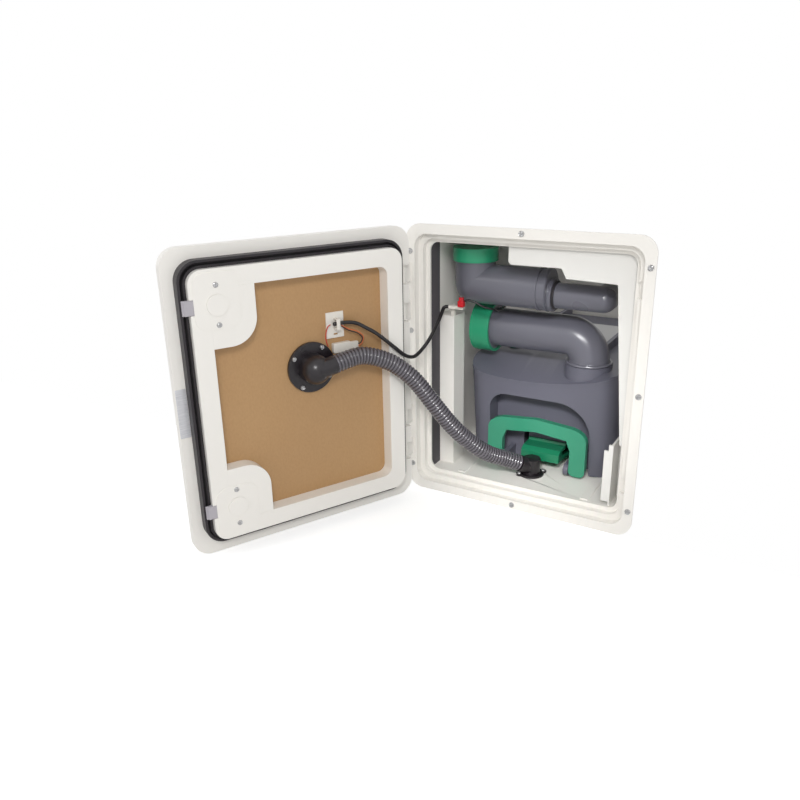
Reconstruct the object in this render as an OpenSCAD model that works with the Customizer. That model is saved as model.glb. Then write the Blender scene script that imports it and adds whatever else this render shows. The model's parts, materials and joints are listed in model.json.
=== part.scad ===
// Caravan service hatch with its tank compartment and a ventilation hose kit.
// The frame screws into a wall cut-out. The door stands open on its left side.
// Millimetres, +Z up, +Y into the wall, origin on the wall face at the hatch's centre.

/* [Frame] */
// Width of the flange
flange_w = 341; // [338:1:346]
// Height of the flange
flange_h = 400; // [398:1:410]
// Thickness of the flange
flange_t = 3; // [2.5:0.1:3.4]
// Corner radius of the flange
flange_r = 22; // [12:1:30]
// Wall of the stepped recess
recess_wall = 2; // [1.5:0.1:2.4]
// Width of the first recess, which takes the door seal
recess_w = 314; // [314:0.5:316]
// Height of the first recess
recess_h = 373; // [372:0.5:376]
// Width of the second recess, which takes the door ring
well_w = 299; // [298:0.5:302]
// Height of the second recess
well_h = 358; // [356:0.5:362]
// Width of the clear opening
opening_w = 287.6; // [280:0.2:289]
// Height of the clear opening
opening_h = 346.6; // [340:0.2:348]
// Depth of the lip behind the wall face
lip_y = 18; // [17:0.5:24]
// Thickness of the lip
lip_t = 3.5; // [2:0.5:5]

/* [Flange screws] */
// Radius of a screw's shank
screw_r = 2; // [1.5:0.1:2.4]
// How much thicker a shank's neck is where it passes the flange
screw_neck = 0.5; // [0.3:0.1:0.8]
// Length of a shank behind the flange
screw_len = 22; // [12:1:30]
// Distance of the screws from the flange's edge
screw_edge = 6.5; // [5:0.1:7.5]
// Distance of the corner screws from the flange's top and bottom edges
screw_corner = 38; // [30:1:50]

/* [Hinge] */
// Radius of a hinge knuckle
knuckle_r = 4.5; // [4:0.1:5]
// Radius of a hinge pin
hinge_pin_r = 2; // [1.5:0.1:2.5]
// Distance of the pin in front of the wall face
hinge_out = 17.5; // [17:0.1:18.5]
// Distance of the pin to the left of the middle
hinge_left = 168; // [167.5:0.1:168.5]
// Height of the middle of each hinge above and below the middle
hinge_z = 106; // [95:1:115]
// Length of one knuckle
knuckle_len = 26; // [20:1:30]
// Angle at which the door stands open
open_angle = 116.4; // [100:0.2:130]

/* [Door] */
// How much narrower the door is than the flange
door_less_w = 1; // [0:0.5:4]
// How much lower the door is than the flange
door_less_h = 0; // [0:0.5:4]
// Thickness of the door's rim
rim_t = 11; // [10:0.5:11.5]
// Corner radius of the door
door_r = 24; // [14:1:34]
// Gap between the closed door and the flange
door_gap = 3; // [2.8:0.1:3.4]
// Width of the raised ring on the door's inner side
ring_w = 291; // [289:0.5:292]
// Height of the raised ring
ring_h = 350; // [346:1:352]
// How far the ring stands up from the rim
ring_rise = 20; // [18:0.5:21]
// Width of the window inside the ring
window_w = 244; // [236:1:248]
// Height of the window inside the ring
window_h = 304; // [296:1:308]
// Thickness of the board in the door
board_t = 8; // [6:0.5:9]
// Thickness of the outer skin
skin_t = 1; // [0.6:0.1:1.5]
// Width of the seal along the top and the free side
seal_w = 10.5; // [9:0.1:10.6]
// Width of the seal along the bottom and the hinge side
seal_far_w = 5; // [4.5:0.1:6]
// Thickness of one seal lip
seal_lip = 3.2; // [2.4:0.1:3.2]

/* [Locks] */
// Distance of the lock spindles from the window's side edge
lock_in_x = 9; // [8:0.5:12]
// Distance of the lock spindles from the window's top and bottom edges
lock_in_z = 20; // [18:1:26]
// Radius of a lock spindle
spindle_r = 5; // [4:0.2:6]
// Height of a tongue
tongue_h = 18; // [14:1:20]
// Thickness of a tongue
tongue_t = 5.2; // [4:0.1:5.2]
// How far a tongue stands out of the ring
tongue_out = 8.5; // [7:0.1:8.6]
// Radius of the knob outside
knob_r = 15; // [12:0.5:18]
// Radius of the low round boss inside
boss_r = 13; // [10:0.5:15]

/* [Fan] */
// Place of the fan across the door
fan_x = -12; // [-20:1:0]
// Place of the fan up the door
fan_z = 28; // [20:1:36]
// Radius of the fan's flange
fan_flange_r = 34; // [32:0.5:38]
// Thickness of the fan's flange
fan_flange_t = 4; // [3:0.5:5]
// Radius of the fan's dome
fan_dome_r = 20; // [19:0.5:22]
// Wall of the fan housing
fan_wall = 2.5; // [2:0.1:3]
// Radius of the fan's mouth
fan_mouth_r = 12.5; // [12:0.1:13.5]
// Upward tilt of the fan's mouth
fan_mouth_tilt = 10; // [0:1:20]
// Distance from the fan's middle to the end of its mouth
fan_mouth_len = 24; // [23.5:0.1:24]

/* [Vent hose] */
// Radius over the ribs
hose_r = 12.3; // [11.5:0.1:12.5]
// Radius in the valleys
hose_valley_r = 11; // [10.8:0.1:11.2]
// Radius of the bore
hose_bore_r = 9.2; // [8.5:0.1:9.6]
// Number of ribs
hose_ribs = 72; // [50:1:80]

/* [Compartment] */
// Inner width of the compartment
liner_w = 293; // [290:1:294]
// Height of the ceiling above the middle
ceiling_z = 176; // [175.5:0.5:178]
// Depth of the floor below the middle
floor_z = 175; // [174.5:0.5:177]
// Wall of the compartment
liner_t = 3; // [2:0.5:3]
// Depth of the compartment behind the wall face
liner_depth = 440; // [436:1:460]
// Depth at which the flush water tank starts
flush_tank_y = 150; // [148:1:160]
// Thickness of the flush water tank from front to back
flush_tank_d = 62; // [40:1:80]

/* [Waste tank] */
// Width of the tank
tank_w = 229; // [222:1:230]
// Place of the tank's middle
tank_x = -1.5; // [-3:0.5:-1]
// Depth at which the tank's front face lies
tank_y = 101; // [100:0.5:103]
// Length of the tank
tank_len = 330; // [320:1:333]
// Height of the tank
tank_h = 163; // [160:0.5:164]
// Height of the seam where it is lowest
seam_h = 138; // [134:1:140]
// Forward lean of the tank's front
tank_lean = 7; // [5:0.5:8]
// Slope of the shoulder above the seam
shoulder_slope = 20; // [16:1:24]
// Wall of the tank
tank_wall = 4; // [3:0.5:5]
// Width of the arched recess in the front
arch_w = 158; // [156:1:166]
// Height of the arched recess
arch_h = 113; // [108:1:118]
// Depth of the arched recess
arch_d = 22; // [18:1:26]
// Height of the channel that passes over the catch
channel_h = 51; // [49:1:54]

/* [Spout] */
// Place of the spout's swivel across the tank
spout_x = 62; // [58:1:64]
// Depth of the spout's swivel
spout_y = 121; // [120.5:0.5:124]
// Radius of the spout
spout_r = 29; // [27:0.5:29.5]
// Wall of the spout
spout_wall = 3; // [2:0.5:4]
// Height of the spout's middle line
spout_z = 35; // [34:0.5:37]
// Radius of the spout's cap
spout_cap_r = 38.5; // [36:0.5:39]
// Width of the spout's cap
spout_cap_w = 30; // [24:1:32]
// Distance from the swivel to the end of the spout's cap
spout_reach = 174.5; // [172:0.5:178]

/* [Handle] */
// Width over the handle's legs
handle_w = 155; // [152:1:157]
// Width of one leg
handle_leg = 24; // [20:1:26]
// Thickness of the handle from front to back
handle_t = 10; // [8:1:11]
// Height of the handle's top above the floor
handle_top = 84; // [80:1:88]
// Height of the handle's pivot above the floor
handle_pivot_h = 12; // [11:0.5:14]

/* [Filler] */
// Place of the filler's upright across the opening
filler_x = -103; // [-104:0.5:-100]
// Depth of the filler's middle line
filler_y = 82; // [81:0.5:84]
// Height of the swivel axis
filler_z = 100; // [99:0.5:101]
// Radius of the filler's arm
filler_r = 29; // [28:0.5:30]
// How far the arm's middle line lies above the swivel axis
filler_offset = 7; // [6:0.5:8]
// Wall of the filler's arm
filler_wall = 3; // [2:0.5:4]
// Radius of the thin inlet pipe
inlet_r = 18; // [17:0.5:19]
// Distance of the inlet's elbow from the middle
inlet_elbow_x = 88; // [80:1:96]
// Radius of the filler's cap
filler_cap_r = 32.8; // [32.4:0.2:34]
// Height of the filler's cap
filler_cap_h = 19.5; // [18:0.5:22]

/* [Vent elbow] */
// Depth of the elbow's middle on the floor
elbow_y = 72; // [71:0.5:73]
// Radius of the elbow's base
elbow_base_r = 19; // [18:0.5:20]
// Radius of the elbow's upright
elbow_r = 13.2; // [12.5:0.1:13.5]

/* [Fits] */
// Clearance of a pin or a spindle that turns
run_fit = 0.06; // [0.02:0.01:0.1]
// Gap between pieces that move past each other
slide_fit = 0.3; // [0.2:0.05:0.5]

/* [Hidden] */
$fn = 64;
eps = 0.01;
cut = 1;

// Frame
ledge_y = ring_rise - rim_t - 0.5;
recess_r = 19;
well_r = 16;
opening_r = 13;
screw_head_r = 4;
screw_head_h = 2.3;
screw_neck_r = screw_r + screw_neck;
screw_x = flange_w / 2 - screw_edge;
screw_z = flange_h / 2 - screw_corner;
screw_top_z = flange_h / 2 - screw_edge;
side_screw_z = 48;
screw_places = concat(
  [for (sx = [-1, 1], sz = [-1, 1]) [sx * screw_x, sz * screw_z]],
  [[0, screw_top_z], [0, -screw_top_z], [-screw_x, side_screw_z], [screw_x, 0]]);

// Hinge
hinge_x = -hinge_left;
hinge_y = -hinge_out;
knuckle_gap = 0.5;
notch_reach = knuckle_r + 2;

// Door, drawn closed and then swung open by one transform
door_x = -1;
door_w = flange_w - door_less_w;
door_h = flange_h - door_less_h;
rim_in_y = -flange_t - door_gap;
rim_out_y = rim_in_y - rim_t;
ring_top_y = rim_in_y + ring_rise;
ring_wall = 3;
ring_r = 18;
window_r = 12;
board_out_y = rim_in_y - board_t;
board_w = ring_w - 7;
board_h = ring_h - 8;
skin_w = board_w - 14;
skin_h = board_h - 14;
seal_top_y = ledge_y - slide_fit;
seal_base_t = 4;
seal_step = 2.4;
label_edge = 0.5;
label_w = (door_w - ring_w) / 2 - seal_w - label_edge - slide_fit;
label_h = 63;

// Locks
lock_x = window_w / 2 - lock_in_x;
lock_z = window_h / 2 - lock_in_z;
housing_w = 57;
housing_h = 73;
housing_r = 34;
housing_wall = 2.5;
cover_w = 56;
cover_h = 68;
cover_r = 14;
cover_rise = 5;
cover_t = 0.8;
cover_y = ring_top_y;
boss_rise = 1.6;
lock_screw_z = 24;
lock_screw_r = 1.6;
lock_screw_len = 9;
tongue_y = ring_top_y - tongue_t - 0.2;
tongue_len = 26;
tongue_tip_x = door_x + ring_w / 2 + tongue_out;
tongue_travel = 8;
keeper_play = 1;
knob_h = 12;

// Fan
fan_dome_y = rim_in_y + fan_flange_t + 10;
fan_axis_y = rim_in_y + 22;
fan_bore_r = 26;
fan_screw_ring = 25.5 + 4;
fan_screw_turn = 58;
impeller_r = 23;
impeller_hub_r = 9;
blade_count = 7;
motor_r = 11;
motor_len = 12;
vent_w = 96;
vent_rise = 9;
vent_slots = 8;

// Vent elbow on the floor
elbow_h = 26;
elbow_turn = 45;
elbow_lift = 25;
elbow_mouth_len = 22;
elbow_axis_z = -floor_z + 11;
elbow_screw_x = 14;
elbow_screw_y = 22;

// Routes of the hose, the cable and the leads
hose_route = [
  [-196.2, -149.7, 32.2], [-190.9, -139.1, 34.3], [-185.7, -128.5, 36.4], [-177, -114, 37.5],
  [-165, -99, 33], [-152, -84, 24], [-142, -74, 14], [-131, -64, 1], [-121, -55, -15],
  [-110, -46, -35], [-99, -37, -55], [-89, -27, -74], [-78, -16, -92], [-68, -4, -107],
  [-57, 8, -121], [-47, 21, -132], [-38, 32, -139], [-29.7, 42.3, -144.4],
  [-22, 50, -149.5], [-14.4, 57.6, -154.5]
];
cable_r = 2.6;
cable_route = [
  [-206, -135, 82], [-203, -129, 82], [-197, -118, 82], [-189, -106, 79], [-179, -98, 72],
  [-169, -90, 64], [-159, -80, 52], [-151, -68, 39], [-146, -56, 28], [-142, -45, 22],
  [-140, -34, 21], [-138, -20, 26], [-135, -5, 36], [-134, 11, 48], [-134, 27, 61],
  [-135, 38, 70], [-135, 44, 75], [-131, 46, 76], [-127.4, 46, 76]
];
lead_r = 1.5;
lead_route = [
  [-100.6, 41, 88], [-94, 43, 89.5], [-85, 46, 86.5], [-75, 50, 80.5], [-66, 57, 77],
  [-63.5, 64, 74.5], [-63, 74, 70.5], [-64, 90, 69], [-67, 112, 71], [-72, 132, 79],
  [-75, 142, 87.5], [-76, 149.6, 90]
];
wire_r = 1.6;
wire_route = [
  [-42, 0.4, 82], [-38, 0.6, 80], [-35, 1, 74], [-33.5, 1.5, 66], [-34.5, 1.5, 59], [-37, 0.8, 53]
];

// Compartment
liner_front_y = lip_y + lip_t + slide_fit;
runner_x = 96;
runner_w = 12;
post_y = 49;
post_d = 35;
post_w = 25.5;
post_z = 62;
panel_y = lip_y + lip_t + 2.5;
panel_t = 3;
panel_left_x = -28;
panel_low_z = ceiling_z - 28;
panel_step_x = 46;
panel_step_z = ceiling_z - 41;
panel_right_x = 120;
panel_foot_x = 139;
panel_foot_z = -82;
guide_w = 12;
guide_x = liner_w / 2 - 14.5;
baffle_x = tank_x + tank_w / 2 + 4;
baffle_z = 66;
baffle_t = 4;

// Tank
runner_z = -opening_h / 2;
tank_bottom_z = runner_z + slide_fit;
tank_left_x = tank_x - tank_w / 2;
tank_r = 30;
seam_z = tank_bottom_z + seam_h;
seam_x = -30;
seam_sweep = 470;
seam_y = tank_y - seam_h * tan(tank_lean);
seam_rise = 0.8;
seam_t = 1.5;
arch_left_r = 27;
arch_right_r = 50;
tank_top_z = tank_bottom_z + tank_h;
channel_x = 4.5;
channel_w = 75;
boss_top_z = tank_top_z + 7;
skirt_r = spout_r + 1;
skirt_h = 3.4;
collar_r = skirt_r + 4;
collar_h = 4;
spout_bend = spout_r + 4;
mouth_x = -2;
mouth_y = 274;
mouth_r = 52;
cover_plate_w = 124;
cover_grip_w = 40;
rail_w = 6;
button_x = -75;
button_y = 175;
button_r = 9;

// Handle and catch
handle_y = 83;
handle_pivot_z = -floor_z + handle_pivot_h;
handle_mid_y = handle_y + handle_t / 2;
handle_pin_r = 3;
lug_w = 7;
catch_x = 6;
catch_w = 60;
catch_y = 88;
catch_d = 12;
catch_low_z = -158;
catch_top_z = -140;
catch_bevel = 5;
catch_pin_r = 2;
catch_hold = 4;
catch_nose_y = tank_y + arch_d - 4.5;
catch_pin_y = 165;
catch_pin_z = -168.5;

// Filler
upright_r = filler_r + 0.3;
filler_mid_z = filler_z + filler_offset;
filler_cap_top = 160.5;
filler_end_x = 20;
bead_w = 3;
bead_rise = 1.5;
inlet_wall = 3;
flush_low_z = filler_z - inlet_r - liner_t - 1;

// ---------- helpers ----------

module rounded(w, h, r) {
  square([w - 2 * r, h], center = true);
  square([w, h - 2 * r], center = true);
  for (sx = [-1, 1], sy = [-1, 1])
    translate([sx * (w / 2 - r), sy * (h / 2 - r)]) circle(r);
}

// Extrudes an outline drawn in X and Z from depth y0 to depth y1
module slab(y0, y1) {
  translate([0, y1, 0]) rotate([90, 0, 0]) linear_extrude(y1 - y0) children();
}

module along_x(x0, x1, r) {
  translate([x0, 0, 0]) rotate([0, 90, 0]) cylinder(r = r, h = x1 - x0);
}

module along_y(y0, y1, r) {
  translate([0, y0, 0]) rotate([-90, 0, 0]) cylinder(r = r, h = y1 - y0);
}

module box(x0, x1, y0, y1, z0, z1) {
  translate([x0, y0, z0]) cube([x1 - x0, y1 - y0, z1 - z0]);
}

// Swings what is drawn closed about the hinge, to where the open door stands
module on_door() {
  translate([hinge_x, hinge_y, 0]) rotate([0, 0, -open_angle])
    translate([-hinge_x, -hinge_y, 0]) children();
}

module pan_screw(head_r, head_h, neck_r, neck_len, shank_r, shank_len) {
  along_y(-head_h, 0, head_r);
  along_y(0, neck_len, neck_r);
  along_y(neck_len - eps, neck_len + shank_len, shank_r);
}

function unit(v) = v / norm(v);
function spline(p, i, t) =
  let (a = p[max(i - 1, 0)], b = p[i], c = p[i + 1], d = p[min(i + 2, len(p) - 1)])
  0.5 * (2 * b + (c - a) * t + (2 * a - 5 * b + 4 * c - d) * t * t
    + (3 * b - a - 3 * c + d) * t * t * t);
function fine(p, n) = concat(
  [for (i = [0 : len(p) - 2], k = [0 : n - 1]) spline(p, i, k / n)], [p[len(p) - 1]]);
function lengths(q) =
  [for (i = 0, s = 0; i < len(q); s = i + 1 < len(q) ? s + norm(q[i + 1] - q[i]) : s, i = i + 1) s];
function before(l, s) = max([for (k = [0 : len(l) - 2]) if (l[k] <= s + eps) k]);
function place(q, l, s) =
  let (i = before(l, s)) q[i] + (q[i + 1] - q[i]) * (s - l[i]) / (l[i + 1] - l[i]);
function heading(q, l, s) =
  let (i = before(l, s)) unit(q[i + 1] - q[i]);
function ring(c, t, r, n) =
  let (u = unit(cross([0, 0, 1], t)), v = cross(t, u))
  [for (k = [0 : n - 1]) c + r * (cos(360 * k / n) * u + sin(360 * k / n) * v)];
function rings(q, l, stations, n) =
  [for (s = stations) each ring(place(q, l, s[0]), heading(q, l, s[0]), s[1], n)];
// Side faces from ring to ring; first is the index of the first point
function skin(first, count, n, outward) =
  [for (i = [0 : count - 2], k = [0 : n - 1])
    let (a = first + i * n + k, b = first + i * n + (k + 1) % n, c = b + n, d = a + n)
    each outward ? [[a, d, c], [a, c, b]] : [[a, b, c], [a, c, d]]];
// Flat faces that close the wall between an outer and an inner ring
function rim_faces(outer, inner, n, start) =
  [for (k = [0 : n - 1])
    let (a = outer + k, b = outer + (k + 1) % n, c = inner + (k + 1) % n, d = inner + k)
    each start ? [[a, b, c], [a, c, d]] : [[a, c, b], [a, d, c]]];

// A solid round cord along a route
module cord(route, r, step, n) {
  q = fine(route, 8);
  l = lengths(q);
  total = l[len(l) - 1];
  count = ceil(total / step) + 1;
  stations = [for (i = [0 : count - 1]) [total * i / (count - 1), r]];
  last = (count - 1) * n;
  polyhedron(
    points = rings(q, l, stations, n),
    faces = concat(skin(0, count, n, true), [[for (k = [0 : n - 1]) k]],
      [[for (k = [0 : n - 1]) last + n - 1 - k]]),
    convexity = 6);
}

// ---------- frame ----------

module frame_knuckle(z0) {
  translate([hinge_x, hinge_y, z0]) cylinder(r = knuckle_r, h = knuckle_len);
  box(hinge_x - knuckle_r, hinge_x + knuckle_r, hinge_y, -flange_t + eps, z0, z0 + knuckle_len);
}

// Each hinge has a frame knuckle, a door knuckle and a frame knuckle
module at_frame_knuckles() {
  for (s = [-1, 1], k = [-1, 1])
    translate([0, 0, s * hinge_z + k * (knuckle_len + knuckle_gap) - knuckle_len / 2]) children();
}

// The pockets that the tongues enter, or with a wall the boxes round them
module keepers(wall) {
  for (s = [-1, 1])
    box(well_w / 2 - cut * (wall == 0 ? 1 : -1), tongue_tip_x + 2 * keeper_play + wall,
      tongue_y - keeper_play - wall, tongue_y + tongue_t + keeper_play + wall,
      s * lock_z - tongue_h / 2 - 2 * keeper_play - wall,
      s * lock_z + tongue_h / 2 + 2 * keeper_play + wall);
}

module wall_frame() {
  color("whitesmoke") difference() {
    union() {
      slab(-flange_t, 0) rounded(flange_w, flange_h, flange_r);
      slab(-flange_t, ledge_y + recess_wall)
        rounded(recess_w + 2 * recess_wall, recess_h + 2 * recess_wall, recess_r + recess_wall);
      slab(ledge_y, lip_y + lip_t)
        rounded(well_w + 2 * recess_wall, well_h + 2 * recess_wall, well_r + recess_wall);
      at_frame_knuckles() frame_knuckle(0);
      keepers(recess_wall);
    }
    slab(-flange_t - cut, ledge_y) rounded(recess_w, recess_h, recess_r);
    slab(ledge_y - cut, lip_y) rounded(well_w, well_h, well_r);
    slab(lip_y - cut, lip_y + lip_t + cut) rounded(opening_w, opening_h, opening_r);
    for (p = screw_places)
      translate([p[0], 0, p[1]]) along_y(-flange_t - cut, cut, screw_neck_r);
    translate([hinge_x, hinge_y, -flange_h / 2]) cylinder(r = hinge_pin_r, h = flange_h);
    keepers(0);
  }
}

module flange_screws() {
  color("silver") for (p = screw_places)
    translate([p[0], -flange_t, p[1]])
      pan_screw(screw_head_r, screw_head_h, screw_neck_r, flange_t, screw_r, screw_len);
}

module hinge_pins() {
  pin_len = 3 * knuckle_len + 2 * knuckle_gap;
  color("gainsboro") for (s = [-1, 1])
    translate([hinge_x, hinge_y, s * hinge_z - pin_len / 2]) cylinder(r = hinge_pin_r, h = pin_len);
}

// ---------- compartment ----------

module compartment_tray() {
  side = liner_w / 2;
  tall_y = flush_tank_y + flush_tank_d;
  color("white") {
    difference() {
      box(-side - liner_t, side + liner_t, liner_front_y, liner_depth, -floor_z - liner_t,
        ceiling_z + liner_t);
      box(-side, side, liner_front_y - cut, liner_depth - liner_t, -floor_z, ceiling_z);
      box(-side - liner_t - cut, side + liner_t + cut, tall_y, liner_depth + cut, flush_low_z - 1,
        ceiling_z + liner_t + cut);
      translate([0, elbow_y, -floor_z - liner_t - cut])
        cylinder(r = hose_bore_r, h = liner_t + 2 * cut);
      for (s = [-1, 1])
        translate([s * elbow_screw_x, elbow_y + s * elbow_screw_y * 0.6, -floor_z - liner_t - cut])
          cylinder(r = 1.5, h = liner_t + 2 * cut);
    }
    // runners that bring the tank level with the lip
    for (s = [-1, 1])
      box(s * runner_x - runner_w / 2, s * runner_x + runner_w / 2, panel_y + panel_t + slide_fit,
        liner_depth - liner_t + eps, -floor_z - eps, runner_z);
  }
}

module foam_lining() {
  side = liner_w / 2;
  color("dimgray") for (s = [-1, 1])
    box(s > 0 ? side - 2 : -side, s > 0 ? side : -side + 2, liner_front_y + 0.2,
      s > 0 ? panel_y - 0.1 : post_y, -floor_z + 0.2, ceiling_z - 0.2);
}

module corner_post() {
  side = liner_w / 2;
  color("white") difference() {
    box(-side, -side + post_w, post_y, post_y + post_d, -floor_z, post_z);
    box(-side - cut, -side + post_w - liner_t, post_y + liner_t, post_y + post_d + cut,
      -floor_z - cut, post_z - liner_t);
  }
}

module blanking_panel() {
  side = liner_w / 2 - slide_fit;
  top = ceiling_z - slide_fit;
  color("white") slab(panel_y, panel_y + panel_t)
    polygon([[panel_left_x, top], [panel_left_x, panel_low_z + 4], [panel_left_x + 4, panel_low_z],
      [panel_step_x, panel_low_z], [panel_step_x + 7, panel_step_z], [panel_right_x, panel_step_z - 2],
      [panel_foot_x, panel_foot_z], [side, panel_foot_z], [side, top]]);
}

module guide_bracket() {
  side = liner_w / 2;
  top = panel_foot_z - 2;
  color("white") {
    slab(panel_y, panel_y + panel_t)
      polygon([[guide_x - guide_w, tank_bottom_z + 5], [guide_x - guide_w, top - 9],
        [guide_x - guide_w / 2, top - 9], [guide_x - guide_w / 2, top], [guide_x, top],
        [guide_x, tank_bottom_z + 5]]);
    box(guide_x - liner_t, guide_x, panel_y + panel_t - eps, post_y + post_d, -floor_z, top);
    box(guide_x - eps, side, post_y + 11, post_y + 11 + liner_t, -floor_z, top);
  }
}

// Fills the gap between the tank and the side wall
module side_baffle() {
  color("slategray")
    box(baffle_x, liner_w / 2, flush_tank_y, flush_tank_y + baffle_t, -floor_z, baffle_z);
}

module baffle_trim() {
  color("seagreen") box(baffle_x, liner_w / 2, flush_tank_y - 0.6, flush_tank_y + baffle_t + 0.6,
    baffle_z, baffle_z + 1.2);
}

module flush_water_tank() {
  side = liner_w / 2 - slide_fit;
  top = ceiling_z;
  color("gainsboro") difference() {
    box(-side, side, flush_tank_y, flush_tank_y + flush_tank_d, flush_low_z, top);
    box(-side + liner_t, side - liner_t, flush_tank_y + liner_t,
      flush_tank_y + flush_tank_d - liner_t, flush_low_z + liner_t, top - liner_t);
    translate([inlet_elbow_x, 0, filler_z])
      along_y(flush_tank_y - cut, flush_tank_y + liner_t + cut, inlet_r + run_fit);
  }
}

module inlet_path(r) {
  translate([0, filler_y, filler_z]) along_x(filler_end_x - 18, inlet_elbow_x, r);
  translate([inlet_elbow_x, filler_y, filler_z]) sphere(r);
  translate([inlet_elbow_x, 0, filler_z]) along_y(filler_y, flush_tank_y + liner_t + 2, r);
}

module inlet_pipe() {
  color("slategray") difference() {
    inlet_path(inlet_r);
    inlet_path(inlet_r - inlet_wall);
    translate([0, filler_y, filler_z])
      along_x(filler_end_x - 18 - cut, filler_end_x - 18 + cut, inlet_r - inlet_wall);
    translate([inlet_elbow_x, 0, filler_z])
      along_y(flush_tank_y, flush_tank_y + liner_t + 2 + cut, inlet_r - inlet_wall);
  }
}

module at_elbow_mouth() {
  translate([0, elbow_y, elbow_axis_z]) rotate([0, 0, 180 + elbow_turn])
    rotate([0, -elbow_lift, 0]) children();
}

module floor_elbow() {
  color([0.06, 0.06, 0.07]) difference() {
    union() {
      translate([0, elbow_y, -floor_z]) cylinder(r = elbow_base_r, h = 3);
      for (s = [-1, 1])
        translate([s * elbow_screw_x, elbow_y + s * elbow_screw_y * 0.6, -floor_z])
          cylinder(r = 5, h = 3);
      translate([0, elbow_y, -floor_z]) cylinder(r = elbow_r, h = elbow_h);
      at_elbow_mouth() along_x(0, elbow_mouth_len, hose_r + 0.2);
    }
    translate([0, elbow_y, -floor_z - cut]) cylinder(r = hose_bore_r, h = elbow_h - 3);
    at_elbow_mouth() along_x(2, elbow_mouth_len + cut, hose_bore_r);
    for (s = [-1, 1])
      translate([s * elbow_screw_x, elbow_y + s * elbow_screw_y * 0.6, -floor_z - cut])
        cylinder(r = 1.5, h = 5);
    translate([0, 0, -floor_z - 50]) cube([200, 200, 100], center = true);
  }
}

module floor_elbow_screws() {
  color("silver") for (s = [-1, 1])
    translate([s * elbow_screw_x, elbow_y + s * elbow_screw_y * 0.6, -floor_z]) {
      translate([0, 0, 3]) cylinder(r = 3, h = 2);
      translate([0, 0, -8]) cylinder(r = 1.5, h = 11 + eps);
    }
}

// ---------- catch ----------

module catch_bracket() {
  ear = 4;
  color("gainsboro") difference() {
    union() {
      for (s = [-1, 1])
        box(catch_x + s * (catch_w / 2 + slide_fit + ear / 2) - ear / 2,
          catch_x + s * (catch_w / 2 + slide_fit + ear / 2) + ear / 2,
          catch_pin_y - 6, catch_pin_y + 14, -floor_z, catch_pin_z + 5.5);
      box(catch_x - catch_w / 2 - slide_fit - ear, catch_x + catch_w / 2 + slide_fit + ear,
        catch_pin_y + 6, catch_pin_y + 14, -floor_z, -floor_z + 3);
    }
    translate([catch_x, catch_pin_y, catch_pin_z])
      along_x(-catch_w, catch_w, catch_pin_r);
  }
}

module catch_pin() {
  color("silver") translate([catch_x, catch_pin_y, catch_pin_z])
    along_x(-catch_w / 2 - slide_fit - 4, catch_w / 2 + slide_fit + 4, catch_pin_r);
}

// A rocking bar: a pad with a sloping top, turning on the pin
module retention_catch() {
  color("seagreen") difference() {
    union() {
      translate([catch_x - catch_w / 2, 0, 0]) rotate([90, 0, 90]) linear_extrude(catch_w)
        polygon([[catch_y, catch_low_z], [catch_y, catch_top_z - catch_bevel],
          [catch_y + catch_d - 4, catch_top_z], [catch_nose_y, catch_top_z],
          [catch_nose_y + 1, catch_top_z + catch_hold],
          [catch_nose_y + 4, catch_top_z + catch_hold],
          [catch_nose_y + 4, catch_top_z - catch_bevel],
          [catch_y + catch_d + 3, catch_top_z - catch_bevel],
          [catch_y + catch_d + 3, catch_low_z + catch_bevel],
          [catch_pin_y, catch_pin_z + 5], [catch_pin_y, catch_pin_z],
          [catch_y + catch_d, catch_low_z]]);
      translate([catch_x, catch_pin_y, catch_pin_z]) along_x(-catch_w / 2, catch_w / 2, 5);
    }
    translate([catch_x, catch_pin_y, catch_pin_z])
      along_x(-catch_w, catch_w, catch_pin_r + run_fit);
  }
}

// ---------- wiring ----------

module connector_bracket() {
  side = -liner_w / 2 + post_w;
  color("white") {
    box(side - 6, side - 0.5, post_y + 1, post_y + 7, post_z, post_z + 17);
    box(side - 6, side + 17, post_y - 7, post_y + 1 + eps, post_z + 12.5, post_z + 17);
  }
}

module red_connector() {
  color("crimson") {
    box(-110, -101, 37, 44.5, post_z + 17, post_z + 26);
    box(-108.5, -102.5, 38, 43.5, post_z + 26 - eps, post_z + 31);
  }
}

module switch_lead() {
  color([0.1, 0.1, 0.1]) cord(lead_route, lead_r, 6, 8);
}

module fan_cable() {
  color([0.08, 0.08, 0.08]) cord(cable_route, cable_r, 9, 8);
}

// ---------- vent hose ----------

module vent_hose() {
  sides = 8;
  q = fine(hose_route, 8);
  l = lengths(q);
  total = l[len(l) - 1];
  pitch = total / hose_ribs;
  outer = concat(
    [[0, hose_valley_r]],
    [for (i = [0 : hose_ribs - 1], k = [0, 1])
      [pitch * (i + 0.25 + 0.5 * k), k == 0 ? hose_r : hose_valley_r]],
    [[total, hose_valley_r]]);
  inner = [for (i = [0 : 2 : hose_ribs]) [pitch * i, hose_bore_r]];
  n_out = len(outer);
  n_in = len(inner);
  first_in = n_out * sides;
  color("slategray") polyhedron(
    points = concat(rings(q, l, outer, sides), rings(q, l, inner, sides)),
    faces = concat(skin(0, n_out, sides, true), skin(first_in, n_in, sides, false),
      rim_faces(0, first_in, sides, true),
      rim_faces((n_out - 1) * sides, first_in + (n_in - 1) * sides, sides, false)),
    convexity = 10);
}

// ---------- door ----------

module door_knuckles() {
  for (s = [-1, 1])
    translate([hinge_x, hinge_y, s * hinge_z - knuckle_len / 2])
      cylinder(r = knuckle_r, h = knuckle_len);
}

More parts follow.
